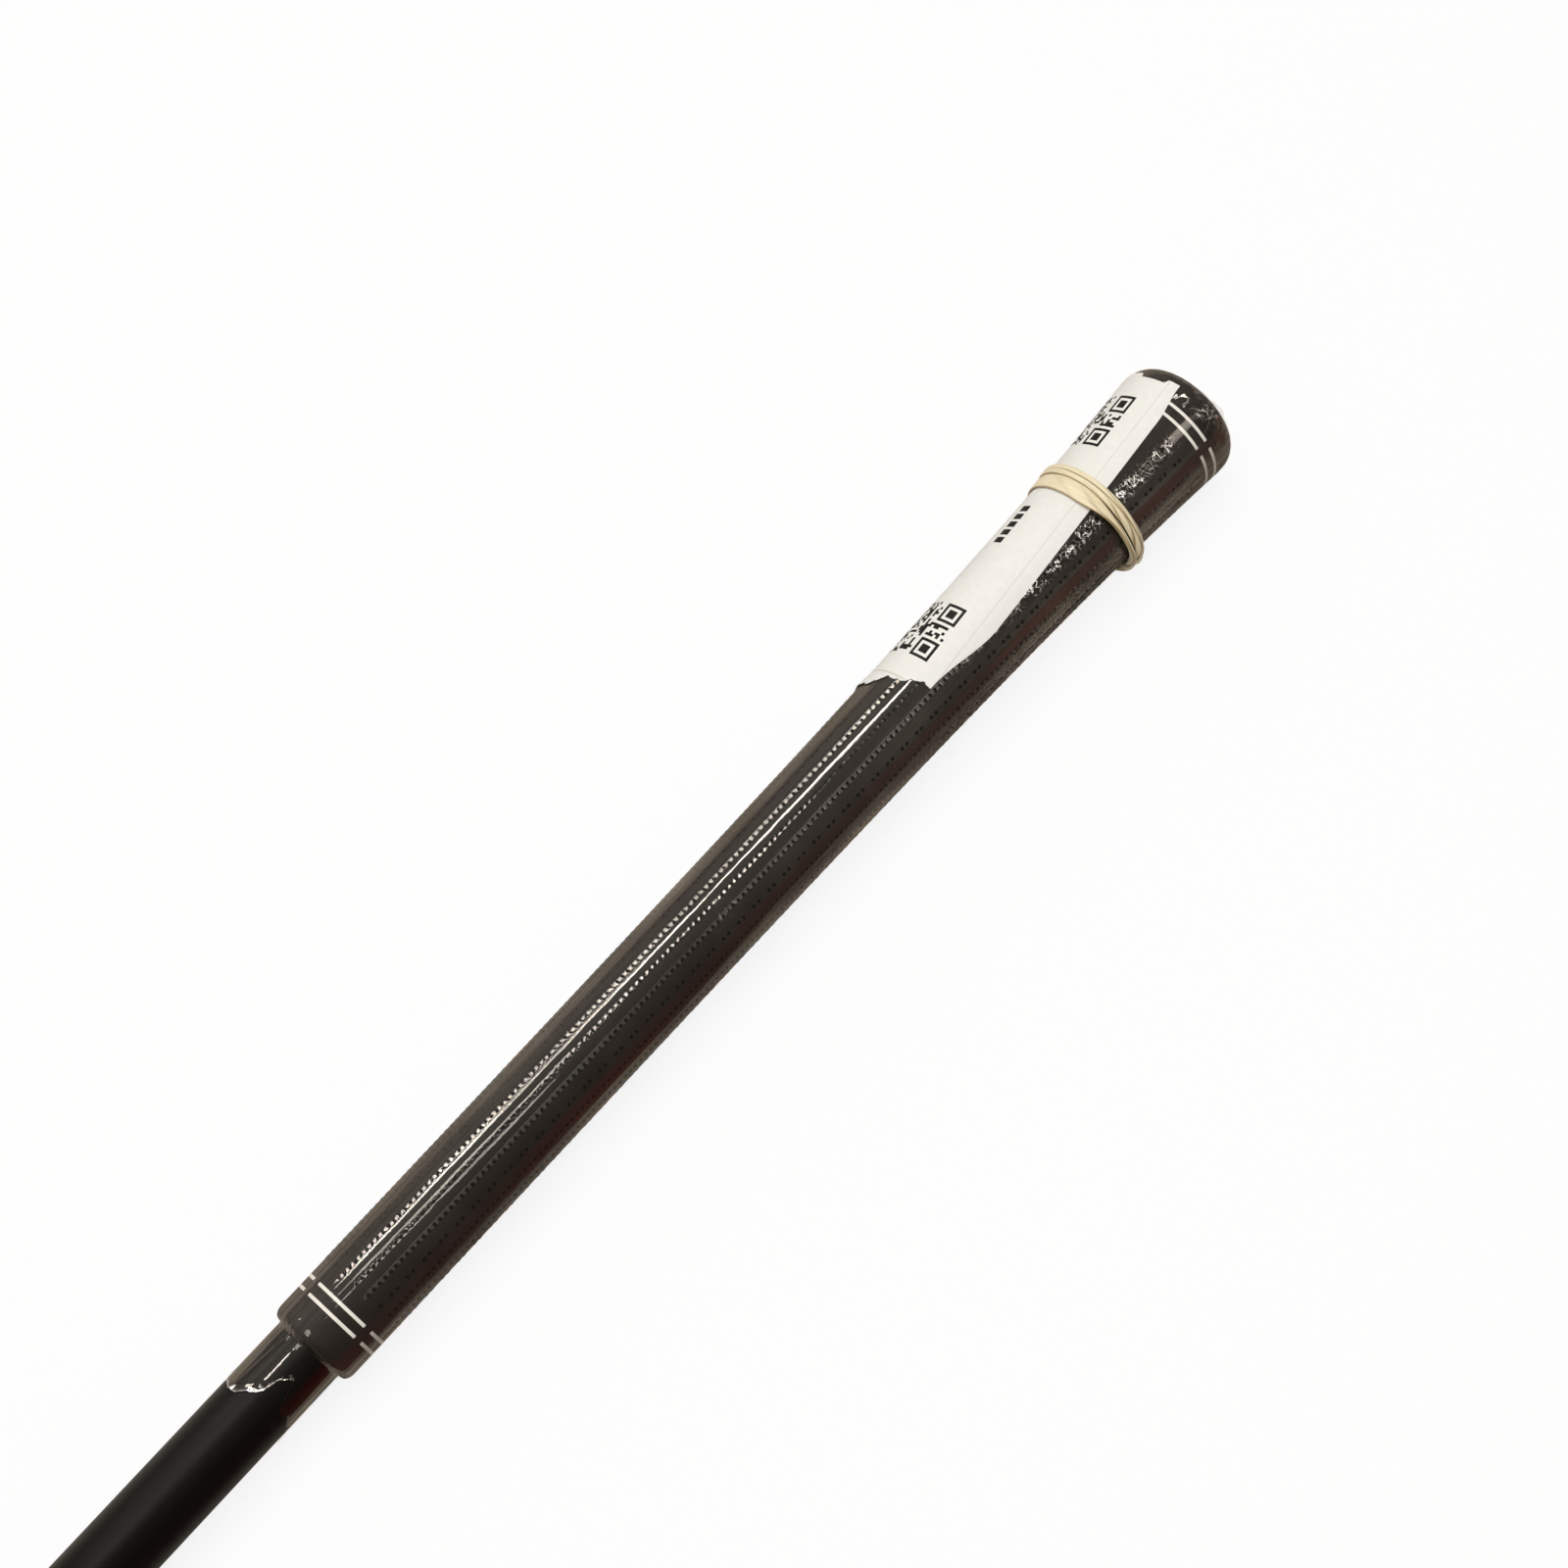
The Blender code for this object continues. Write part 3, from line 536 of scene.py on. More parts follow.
grip_rubber = make_rubber("grip_rubber", (0.0180, 0.0140, 0.0118), (0.0235, 0.0185, 0.0158), 0.62)
# The dots take a darker copy of the grip rubber: painted shade, for the dark look of the dots
shaded_dot_rubber = make_rubber("shaded_dot_rubber", (0.0045, 0.0036, 0.0030), (0.0065, 0.0052, 0.0044), 0.7)
cap_rubber = make_rubber("cap_rubber", (0.0180, 0.0145, 0.0122), (0.0235, 0.0190, 0.0162), 0.58)
print("rubber finishes made")

# %% [markdown]
# The sleeve is a straight tube with a flare at the butt. Its outline is read from the frame and smoothed
# with one curve, so that the taper shows no corners. The end cap closes it, with a small vent hole.

# %% Grip sleeve and end cap
outer_place, outer_radius = club_outline("grip_sleeve")
bore_radius = club_outline("grip_sleeve", outer=False)[1].min()
SLEEVE_START = outer_place.min()
MOUTH_ROUNDING = 2.3 * MM
taper_part = outer_place < GRIP_LENGTH - MOUTH_ROUNDING
taper = np.polynomial.Chebyshev.fit(outer_place[taper_part], outer_radius[taper_part], 7)
TAPER_ROWS = 90

rows = np.linspace(SLEEVE_START, outer_place[taper_part].max(), TAPER_ROWS)
profile = pairs(rows, taper(rows)) + pairs(outer_place[~taper_part], outer_radius[~taper_part])
profile += [(GRIP_LENGTH, bore_radius), (SLEEVE_START, bore_radius)]
sleeve = turned("sleeve", profile, grip_rubber)
settle(sleeve, "black_rubber", "grip_sleeve")

CAP_SHOULDER = 5 * MM
SHOULDER_STEPS = 14
cap_place, cap_radius = club_outline("grip_end_cap")
CAP_DEPTH = cap_place.max()
CAP_RADIUS = cap_radius.max()
shoulder_angle = np.linspace(0, math.pi / 2, SHOULDER_STEPS)
shoulder_place = CAP_SHOULDER * (1 - np.cos(shoulder_angle))
shoulder_radius = CAP_RADIUS - CAP_SHOULDER * (1 - np.sin(shoulder_angle))
vent_radius = club_outline("grip_end_cap", outer=False)[1].min()
cap_inside = [(CAP_DEPTH, CAP_RADIUS), (CAP_DEPTH, bore_radius), (CAP_DEPTH / 2, bore_radius)]
cap_inside += [(CAP_DEPTH / 2, vent_radius), (0.0, vent_radius)]
cap = turned("end_cap", pairs(shoulder_place, shoulder_radius) + cap_inside, cap_rubber)
settle(cap, "cap_rubber", "grip_end_cap")

# %% [markdown]
# The grip is moulded with rows of small dots. They repeat over the whole surface, so one short nodes tree
# makes them: it sets a flat eight-sided stud on every point of a lattice and turns it to face outwards.
# Every third row leaves out each third dot, which is what gives those rows their look of pairs.

# %% Moulded dots
DOT_ROWS = 19
FIRST_ROW_TURN = math.radians(-1.0)
DOT_PITCH = 1.5 * MM
DOT_RADIUS = 0.43 * MM
DOT_HEIGHT = 0.08 * MM
DOTS_FROM_BUTT = 15 * MM
DOTS_FROM_MOUTH = 14 * MM
PAIR_STEP = 3
DOT_SIDES = 8
DOT_TOP_SHARE = 0.6
DOT_SUNK_SHARE = 0.3
BODY = ("Geometry", "Geometry")


def close_body(tree, body, material, end):
    """The body as real geometry in one material, at the end of its group."""
    real = add_node(tree, "GeometryNodeRealizeInstances", Geometry=body.outputs[0])
    finish = add_node(tree, "GeometryNodeSetMaterial", Geometry=real.outputs[0], Material=material)
    tree.links.new(finish.outputs[0], end)
    return tree


def named_mark(tree, name, kind):
    made = add_node(tree, "GeometryNodeInputNamedAttribute", {"data_type": kind}, Name=name)
    return made.outputs["Attribute"]


def make_dot_tree():
    inputs = [BODY, ("Dot Radius", "Float"), ("Dot Height", "Float"), ("Rubber", "Material")]
    tree, given, end = new_group("moulded_dots", "GeometryNodeTree", inputs, BODY)
    stud = add_node(
        tree,
        "GeometryNodeMeshCone",
        {"fill_type": "NGON"},
        Vertices=DOT_SIDES,
        Radius_Bottom=given["Dot Radius"],
        Radius_Top=times(tree, given["Dot Radius"], DOT_TOP_SHARE),
        Depth=given["Dot Height"],
    )
    out = named_mark(tree, "outward", "FLOAT_VECTOR")
    turn = add_node(tree, "FunctionNodeAlignRotationToVector", {"axis": "Z"}, Vector=out)
    placed = add_node(
        tree,
        "GeometryNodeInstanceOnPoints",
        Points=given["Geometry"],
        Instance=stud.outputs["Mesh"],
        Rotation=turn.outputs[0],
    )
    return close_body(tree, placed, given["Rubber"], end)


def run_tree(source, tree, inputs):
    """Set the inputs by identifier, evaluate, and keep the result as a plain mesh."""
    nodes = source.modifiers.new("nodes", "NODES")
    nodes.node_group = tree
    named = {item.name: item.identifier for item in tree.interface.items_tree if item.in_out == "INPUT"}
    for name, value in inputs.items():
        nodes[named[name]] = value
    bpy.context.view_layer.update()
    mesh = bpy.data.meshes.new_from_object(source.evaluated_get(bpy.context.evaluated_depsgraph_get()))
    bpy.data.objects.remove(source, do_unlink=True)
    return mesh


first_dot = math.ceil(DOTS_FROM_BUTT / DOT_PITCH)
last_dot = math.floor((GRIP_LENGTH - DOTS_FROM_MOUTH) / DOT_PITCH)
lattice = [
    (row, place)
    for row in range(DOT_ROWS)
    for place in range(first_dot, last_dot)
    if row % PAIR_STEP != PAIR_STEP - 1 or place % PAIR_STEP
]
dot_row, dot_place = np.array(lattice).T
dot_turn = FIRST_ROW_TURN + dot_row / DOT_ROWS * 2 * math.pi
dot_distance = (dot_place + 0.5) * DOT_PITCH
dot_points = on_club(dot_distance, dot_turn, taper(dot_distance) + DOT_SUNK_SHARE * DOT_HEIGHT)
dot_mesh = bpy.data.meshes.new("dot_lattice")
dot_mesh.from_pydata(dot_points.tolist(), [], [])
outward = dot_mesh.attributes.new("outward", "FLOAT_VECTOR", "POINT")
outward.data.foreach_set("vector", way_out(dot_turn).ravel())
dot_source = add_object("dot_lattice", dot_mesh)
dot_inputs = {"Dot Radius": DOT_RADIUS, "Dot Height": DOT_HEIGHT, "Rubber": shaded_dot_rubber}
dots = add_object("moulded_dots", run_tree(dot_source, make_dot_tree(), dot_inputs))
settle(dots, "black_rubber")

# %% [markdown]
# Four white rings are let into the rubber, two at each end. Each is broken in four places, so it is made
# as four arcs. Every arc takes its turn and width from its own CAD node and stands a hair proud of the
# rubber. On the right side the paint is darkened grey: painted shade for the side that gets less light.

# %% White rings
RING_PROUD = 0.03 * MM
RING_STEPS = 22
RING_DEPTH = 0.2 * MM
# Turns in degrees, and how far painted shade greys the ring paint there
RING_SHADE_BY_TURN = ((-160, -72, -35), (0.0, 1.0, 0.0))
ring_paint, tree, surface = new_material("ring_paint")
wear = object_noise(tree, 900.0, 4.0)
shade = blend_node(tree, span_node(tree, wear, 0.35, 0.65), (0.90, 0.885, 0.84), (0.95, 0.935, 0.89))
painted_ring_shade = point_mark(tree, "painted_ring_shade")
# Painted shade: the ring paint goes grey on the grip's right side
shade = blend_node(tree, painted_ring_shade, shade, (0.36, 0.34, 0.31))
rough = span_node(tree, wear, *NOISE_RANGE, 0.42, 0.6)
add_coat(tree, surface, shade, rough)


def turns_of(node_name):
    """First and last turn of an arc, measured from its middle."""
    from_axis = corner_points(node_name) - BUTT
    around = (from_axis @ UP) + 1j * (from_axis @ SIDE)
    middle = np.angle(around.mean())
    reach = np.angle(around * np.exp(-1j * middle))
    return middle + reach.min(), middle + reach.max()


def make_ring(ring_name):
    node_names = [f"{ring_name}_{i}" for i in range(1, 5)]
    low, high = (f(club_outline(node_names[0])[0]) for f in (np.min, np.max))
    middle = (low + high) / 2
    section = [(low, -RING_DEPTH), (low, RING_PROUD / 2), (middle, RING_PROUD)]
    section += [(high, RING_PROUD / 2), (high, -RING_DEPTH)]
    shape = bmesh.new()
    painted_ring_shade = shape.verts.layers.float.new("painted_ring_shade")
    for node_name in node_names:
        start, end = turns_of(node_name)
        turns = np.linspace(start, end, RING_STEPS)
        grid = [
            [shape.verts.new(on_club(place, turn, taper(place) + rise)) for turn in turns]
            for place, rise in section
        ]
        for line in grid:
            for turn, corner in zip(turns, line):
                # How much painted shade each corner takes, by its turn
                corner[painted_ring_shade] = np.interp(degrees_round(turn), *RING_SHADE_BY_TURN)
        count = len(section)
        for i in range(count):
            here, there = grid[i], grid[(i + 1) % count]
            for j in range(RING_STEPS - 1):
                shape.faces.new((here[j], here[j + 1], there[j + 1], there[j]))
        for j in (0, RING_STEPS - 1):
            shape.faces.new([line[j] for line in grid])
    bmesh.ops.recalc_face_normals(shape, faces=shape.faces)
    ring = new_object(f"{ring_name}_paint", mesh_of(ring_name, shape), ring_paint)
    return settle(ring, "white_inlay", *node_names)


for ring_name in ("cap_ring_outer", "cap_ring_inner", "mouth_ring_upper", "mouth_ring_lower"):
    make_ring(ring_name)

# %% [markdown]
# The stock label comes before the film that it lies on, because the film is pressed flat under it. It is
# a strip of paper, stuck on a little askew, with a nick torn from its top edge and a ragged lower end.

# %% Where the label lies
LABEL_WIDTH = 28 * MM
LABEL_LENGTH = 89 * MM
LABEL_FROM_BUTT = 4.5 * MM
LABEL_SIDE = 1.6 * MM
LABEL_SKEW = math.radians(4.7)
TOP_OUT = 0.6 * MM
TOP_SLANT = 0.03
NICK_START = 2.7 * MM
NICK_END = 10.2 * MM
NICK_DEPTH = 1.2 * MM
NICK_SLOPE = 0.7 * MM
SIDE_OUT = 0.9 * MM
SIDE_OUT_FROM = 9 * MM
SIDE_TORN = 3.4 * MM
TEAR_START = 66 * MM
TEAR_END = 86 * MM
# The ragged lower end, in mm: its length, two steps by start, end and depth, and two waves
END_LENGTH = 85.3
END_STEPS = [(2, 8, 2.6), (9.5, 14.5, 3.1)]
END_WAVES = [(0.22, 2.3, 0.0), (0.14, 4.7, 1.0)]
PRESSED_EDGE = 0.8 * MM


def soft_step(value, low, high):
    share = np.clip((value - low) / (high - low), 0.0, 1.0)
    return share * share * (3 - 2 * share)


def within(value, low, high, fade):
    """1 between low and high, and 0 outside, with a soft step of length fade inside each end."""
    return soft_step(value, low, low + fade) * soft_step(-value, -high, -high + fade)


def waves(place, table):
    """A sum of waves, each given by its height, its pace and its shift."""
    return sum(height * np.sin(place * pace + shift) for height, pace, shift in table)


def bell(value):
    return np.exp(-(value**2))


def label_top(across):
    nick = NICK_DEPTH * within(across, NICK_START, NICK_END, NICK_SLOPE)
    return nick - TOP_OUT - TOP_SLANT * across


def label_side(down):
    """The right edge bulges out a little and is torn in towards its lower end."""
    torn = SIDE_TORN * soft_step(down, TEAR_START, TEAR_END)
    return torn - SIDE_OUT * soft_step(down, 0.0, SIDE_OUT_FROM)


def label_end(across):
    steps = sum(depth * soft_step(across, low * MM, high * MM) for low, high, depth in END_STEPS)
    return (END_LENGTH + steps + waves(across / MM, END_WAVES)) * MM


def label_place(across, down):
    """Distance from the butt and length round the grip of a point of the flat label."""
    distance = LABEL_FROM_BUTT + down * math.cos(LABEL_SKEW) + across * math.sin(LABEL_SKEW)
    arc = LABEL_SIDE + across * math.cos(LABEL_SKEW) - down * math.sin(LABEL_SKEW)
    return distance, arc


def under_label(distance, turn, radius):
    """1 under the label and 0 outside it, with a soft edge."""
    arc = short_turn(turn) * radius - LABEL_SIDE
    along = distance - LABEL_FROM_BUTT
    across = arc * math.cos(LABEL_SKEW) + along * math.sin(LABEL_SKEW)
    down = along * math.cos(LABEL_SKEW) - arc * math.sin(LABEL_SKEW)
    edge = PRESSED_EDGE
    inside = soft_step(across, -SIDE_OUT - edge, -SIDE_OUT)
    inside = inside * soft_step(-across, -LABEL_WIDTH - edge, -LABEL_WIDTH)
    begun = soft_step(down, -TOP_OUT - 2 * edge, -TOP_OUT - edge)
    return inside * begun * soft_step(-down, -LABEL_LENGTH - 4 * edge, -LABEL_LENGTH - 3 * edge)


print("label covers", LABEL_WIDTH, "by", LABEL_LENGTH)

# %% [markdown]
# The film is a shrunk tube, about as thick as a crisp packet. It follows the rubber closely, with long
# low wrinkles along the grip, a crumpled collar at the butt and a torn lower end on the shaft. A single
# surface is enough, because what shows is only its shine. It is drawn as a grid whose last rows are
# stretched to the torn edge.

# %% Film shape
FILM_CLEARANCE = 0.11 * MM
FILM_COLUMNS = 300
FILM_ROW_STEP = 1.2 * MM
DRAW_IN_START = 2.6 * MM
DRAW_IN_END = 0.9 * MM
MOUTH_ROWS = 0.4 * MM
FILM_SPREAD = 0.005
SHRINK_SEED = 11
WRINKLES = 40
# The least and the most of each wrinkle: mm long, degrees wide, mm high, degrees of sway and its pace in mm
WRINKLE_LENGTH = (30, 150)
WRINKLE_WIDTH = (3.0, 6.0)
WRINKLE_HEIGHT = (0.002, 0.009)
WRINKLE_SWAY = (0.5, 2.5)
SWAY_PACE = (9, 20)
WRINKLE_FADE = 12 * MM
WRINKLE_MARGIN = 20
# Turn from the top in degrees, and how far past the mouth the film is torn off there, in mm
TORN_EDGE = [(-180, 13), (-140, 15), (-102, 17), (-64, 12.3), (-40, 12.0), (-32, 8.8), (-27, 6.4)]
TORN_EDGE += [(-12, 7.6), (-5, 11.6), (29, 15.4), (48, 15.1), (85, 13), (130, 14.5), (180, 13)]
TORN_WAVES = [(0.15, 0.35, 0.0), (0.08, 0.8, 1.3)]
# How white the torn rim is, by turn in degrees
RIM_WHITE = ((-60, -27, -6, 55, 80), (0.12, 0.16, 0.8, 0.8, 0.15))
RIM_INNER_SHARE = 0.3
# How far the last three rows flare out, and where between the last plain row and the edge each row lies
EDGE_FLARE = np.array([0.03, 0.10, 0.20]) * MM
EDGE_SHARES = np.array([0.12, 0.25, 0.4, 0.55, 0.7, 0.82, 0.91, 0.97, 1.0])
TUCKED_ROWS = 12
TUCKED_FROM = 2
TUCKED_TO = 84
LABEL_PRESS = 0.97

shaft_place, shaft_radius = club_outline("shaft")
on_outside = shaft_radius > np.maximum.accumulate(shaft_radius[::-1])[::-1] - 0.01 * MM
shaft_place, shaft_radius = shaft_place[on_outside], shaft_radius[on_outside]


def film_radius(distance):
    """Radius of the film where nothing wrinkles it, at a distance from the butt."""
    on_cap = np.interp(distance, shoulder_place, shoulder_radius)
    on_sleeve = taper(np.clip(distance, SLEEVE_START, GRIP_LENGTH))
    on_grip = np.where(distance < SLEEVE_START, CAP_RADIUS, on_sleeve)
    on_grip = np.where(distance < CAP_SHOULDER, on_cap, on_grip)
    on_shaft = np.interp(distance, shaft_place, shaft_radius)
    drop = soft_step(distance, GRIP_LENGTH - DRAW_IN_START, GRIP_LENGTH + DRAW_IN_END)
    drawn = on_grip + (on_shaft - on_grip) * drop
    at_mouth = np.interp(distance, outer_place, outer_radius, left=0.0, right=0.0)
    loose = FILM_SPREAD * np.maximum(distance - GRIP_LENGTH - MM, 0.0)
    return np.maximum(drawn, at_mouth) + loose + FILM_CLEARANCE


def torn_end(turn):
    angle = degrees_round(turn)
    return GRIP_LENGTH + (np.interp(angle, *np.array(TORN_EDGE).T) + waves(angle, TORN_WAVES)) * MM


def wrinkle_height(distance, turn):
    """Long low ridges at chosen turns, each with its own length, width and slow drift."""
    chance = np.random.default_rng(SHRINK_SEED)
    height = np.zeros(np.broadcast(distance, turn).shape)
    for _ in range(WRINKLES):
        middle = chance.uniform(-math.pi, math.pi)
        start = chance.uniform(-WRINKLE_MARGIN, GRIP_LENGTH / MM - WRINKLE_MARGIN) * MM
        end = start + chance.uniform(*WRINKLE_LENGTH) * MM
        width = math.radians(chance.uniform(*WRINKLE_WIDTH))
        tall = chance.uniform(*WRINKLE_HEIGHT) * MM
        sway = math.radians(chance.uniform(*WRINKLE_SWAY))
        sway = sway * np.sin(distance / chance.uniform(*SWAY_PACE) / MM)
        away = short_turn(turn - middle - sway)
        height = height + tall * within(distance, start, end, WRINKLE_FADE) * bell(away / width)
    return height


CRUMPLE_FULL = 5 * MM
CRUMPLE_END = 9 * MM
CRUMPLE_TURN = -38
CRUMPLE_SPREAD = 26
CRUMPLE_LEAST = 0.12
CRUMPLE_HEIGHT = 0.55 * MM
CRUMPLE_BASE = 0.45
# How often the puckers change in a mm along the club and round it, and how much finer the second ones are
PUCKER_ALONG = 0.55
PUCKER_ROUND = 0.45
PUCKER_FINER = 2.1
PEAK_SPREAD = 5
PEAK_PLACE = 0.3 * MM
PEAK_LENGTH = 1.5 * MM
PEAK_HEIGHT = 0.5 * MM


def crumple_height(distance, turn, radius):
    """Puckers where the film gathers at the butt, deepest on the side away from the label."""
    near = soft_step(-distance, -CRUMPLE_END, -CRUMPLE_FULL)
    aside = degrees_round(turn) - CRUMPLE_TURN
    strength = near * (CRUMPLE_LEAST + (1 - CRUMPLE_LEAST) * bell(aside / CRUMPLE_SPREAD))
    pucker = np.zeros(distance.shape)
    for i, j in np.argwhere(strength > 0.002):
        round_way = radius[i, j] * turn[i, j] / MM
        spot = Vector((distance[i, j] / MM * PUCKER_ALONG, round_way * PUCKER_ROUND, 3.0))
        pucker[i, j] = noise.noise(spot) + 0.5 * noise.noise(spot * PUCKER_FINER)
    peak = PEAK_HEIGHT * bell(aside / PEAK_SPREAD) * bell((distance - PEAK_PLACE) / PEAK_LENGTH)
    return CRUMPLE_HEIGHT * strength * (CRUMPLE_BASE + pucker) + peak


# The pleat: its turn at 2 mm before the mouth, its slant in degrees a mm, its width in degrees
PLEAT_TURN = 21
PLEAT_SLANT = 0.85
PLEAT_WIDTH = 2.2
PLEAT_HEIGHT = 0.16 * MM
GATHER_HEIGHT = 0.018 * MM
GATHER_WAVES = [(1.0, 9, 1.2), (1.0, 17, 0.0)]


def fold_height(distance, turn):
    """The pinched fold that runs slantwise down the film below the mouth, and shallow gathers beside it."""
    past = (distance - GRIP_LENGTH) / MM
    course = PLEAT_TURN + (past + 2) * PLEAT_SLANT
    pleat = bell((degrees_round(turn) - course) / PLEAT_WIDTH) * soft_step(past, -3.0, 0.0)
    gather = soft_step(past, -1.0, 2.0) * soft_step(-past, -8.0, -3.0)
    return PLEAT_HEIGHT * pleat + GATHER_HEIGHT * gather * waves(turn, GATHER_WAVES)


def all_round(values):
    return np.repeat(values[:, None], FILM_COLUMNS, axis=1)


film_turn = np.arange(FILM_COLUMNS) / FILM_COLUMNS * 2 * math.pi
tucked_angle = np.radians(np.linspace(TUCKED_FROM, TUCKED_TO, TUCKED_ROWS))
tucked_path = CAP_SHOULDER * (1 - (math.pi / 2 - tucked_angle))
plain_rows = np.arange(CAP_SHOULDER, GRIP_LENGTH - DRAW_IN_START, FILM_ROW_STEP)
mouth_rows = np.arange(GRIP_LENGTH - DRAW_IN_START, GRIP_LENGTH + DRAW_IN_END + MOUTH_ROWS, MOUTH_ROWS)
plain_rows = np.concatenate([plain_rows, mouth_rows])
last_plain = plain_rows[-1]
edge_rows = last_plain + EDGE_SHARES[:, None] * (torn_end(film_turn)[None, :] - last_plain)
body_rows = np.concatenate([all_round(plain_rows), edge_rows])
film_path = np.concatenate([all_round(tucked_path), body_rows])
film_turns = np.broadcast_to(film_turn, film_path.shape)

lean = np.concatenate([np.cos(tucked_angle), np.zeros(len(body_rows))])[:, None]
rise = np.sqrt(1 - lean**2)
tucked_place = CAP_SHOULDER * (1 - np.cos(tucked_angle)) - FILM_CLEARANCE * np.cos(tucked_angle)
tucked_radius = CAP_RADIUS - CAP_SHOULDER * (1 - np.sin(tucked_angle))
tucked_radius = tucked_radius + FILM_CLEARANCE * np.sin(tucked_angle)
film_distance = np.concatenate([all_round(tucked_place), body_rows])
film_base = np.concatenate([all_round(tucked_radius), film_radius(body_rows)])

pressed = 1 - LABEL_PRESS * under_label(film_path, film_turns, film_base)
lifted = wrinkle_height(film_path, film_turns) + fold_height(film_path, film_turns)
lifted = (lifted + crumple_height(film_path, film_turns, film_base)) * pressed
lifted[-3:] += EDGE_FLARE[:, None]
film_points = on_club(film_distance - lifted * lean, film_turns, film_base + lifted * rise)
film_points[..., 2] = np.maximum(film_points[..., 2], 0.0)
torn_rim = np.zeros(film_path.shape)
torn_rim[-1] = np.interp(degrees_round(film_turn), *RIM_WHITE)
torn_rim[-2] = RIM_INNER_SHARE * torn_rim[-1]
print("film grid", film_points.shape[:2])

# %% [markdown]
# What shows of clear film is mostly its shine. Each point either lets the light straight through or
# mirrors it, and the share that it mirrors grows towards the edges of the grip, which is what a Fresnel
# node gives. The dots of the grip press through the film as tiny bumps: they break the mirrored tubes
# into chains of dashes. A node group makes that lattice. It takes the row count, pitch and radius of the
# moulded dots, so that the two agree. Towards the flanks the dots stop showing. Fine creases beside the
# label, and a pinch in mid-grip where creases fan out from one spot, are drawn as thin white lines.

# %% Film finish
ROW_WIDTH = 3.45 * MM
# Where a dome is full and where it ends, in radii of a dot
DOME_SPAN = (0.35, 1.25)


def make_dot_group():
    inputs = [(name, "Float") for name in ("Rows", "First Row", "Pitch", "Row Width", "Dot Radius")]
    tree, given, end = new_group("dot_lattice", "ShaderNodeTree", inputs, ("Height", "Float"))
    parts = parts_of(tree, club_map(tree))
    row = times(tree, minus(tree, parts["X"], given["First Row"]), given["Rows"])
    row = plus(tree, row, 0.5)
    station = sum_node(tree, "DIVIDE", parts["Y"], given["Pitch"])
    row_number = sum_node(tree, "FLOOR", row)
    station_number = sum_node(tree, "FLOOR", station)
    aside = minus(tree, sum_node(tree, "FRACT", row), 0.5)
    aside = times(tree, aside, given["Row Width"])
    along = minus(tree, sum_node(tree, "FRACT", station), 0.5)
    along = times(tree, along, given["Pitch"])
    squares = times(tree, aside, aside)
    squares = sum_node(tree, "MULTIPLY_ADD", along, along, squares)
    reach = sum_node(tree, "DIVIDE", sum_node(tree, "SQRT", squares), given["Dot Radius"])
    dome = span_node(tree, reach, *DOME_SPAN, 1.0, 0.0)
    paired_row = sum_node(tree, "FLOORED_MODULO", row_number, PAIR_STEP)
    paired_row = sum_node(tree, "GREATER_THAN", paired_row, PAIR_STEP - 1.5)
    third = sum_node(tree, "FLOORED_MODULO", station_number, PAIR_STEP)
    missing = times(tree, paired_row, sum_node(tree, "LESS_THAN", third, 0.5))
    kept = times(tree, dome, minus(tree, 1.0, missing))
    begun = span_node(tree, parts["Y"], DOTS_FROM_BUTT, DOTS_FROM_BUTT + MM)
    bare = times(tree, kept, begun)
    last = GRIP_LENGTH - DOTS_FROM_MOUTH
    bare = times(tree, bare, span_node(tree, parts["Y"], last, last + MM, 1.0, 0.0))
    tree.links.new(bare, end)
    return tree


def streaks(tree, round_scale, along_scale, detail=1.0):
    """Noise drawn out along the club, by how often it changes in a turn and in a metre."""
    scale = (round_scale, along_scale, 1.0)
    drawn = add_node(tree, "ShaderNodeMapping", Vector=club_map(tree), Scale=scale).outputs[0]
    return add_node(tree, "ShaderNodeTexNoise", Vector=drawn, Scale=1.0, Detail=detail).outputs["Fac"]


# All turns here are shares of a full turn from the top
CRINKLE_FROM = -33 / 360
CRINKLE_TO = -8 / 360
CRINKLE_SOFT_FROM = 0.016
CRINKLE_SOFT_TO = 0.02
CRINKLE_START = (12 * MM, 17 * MM)
CRINKLED_LENGTH = 92 * MM
CRINKLE_FADE = 38 * MM
PINCH_TURN = 3 / 360
PINCH_PLACE = 152.3 * MM
PINCH_LENGTH = 7.5 * MM
PINCH_WANDER = 1.6 * MM
PINCH_RAYS = 6.0
PINCH_SPREAD = (0.5, 0.75)
PINCH_FULL_SHARE = 0.4
RAY_WIDTH = (0.12, 0.4)
RAY_WHITE = 0.5
CONTOUR_WIDTH = (0.015, 0.05)
BREAK_SPAN = (0.38, 0.5)
BARE_MIDDLE = 0.06
BARE_WIDTH = (0.03, 0.06)
# Where the dots stop showing on each flank, and how much the flank mirrors between full and none
LEFT_FLANK = (0.062, 0.08)
RIGHT_FLANK = (-0.16, -0.10)
LEFT_FLANK_MIRROR = 0.9
RIGHT_FLANK_MIRROR = 0.6
DOT_SIZES = (0.35, 1.25)
DOT_EDGE = (0.12, 0.42)
ON_DOT_MIRROR = 0.05
LINE_MIRROR = (0.6, 1.35)
PATCH_RANGE = (0.35, 0.65)
PATCH_MIRROR = (0.55, 1.2)
CREASED_MIRROR = 0.45
# How far each layer of bumps lifts the film
DOT_PRESS = 0.02 * MM
SLOW_LIFT = 0.05 * MM
LINE_LIFT = 0.007 * MM
CRINKLE_LIFT = 0.15 * MM
CRUMPLE_LIFT = 0.4 * MM
FILM_IOR = 1.62
MOST_MIRRORED = 0.13
CREASE_SHARE = 0.5
WHITE_LINE_MIRROR = 0.8
WHITE_LINE_ROUGH = 0.4
FILM_ROUGH = 0.03

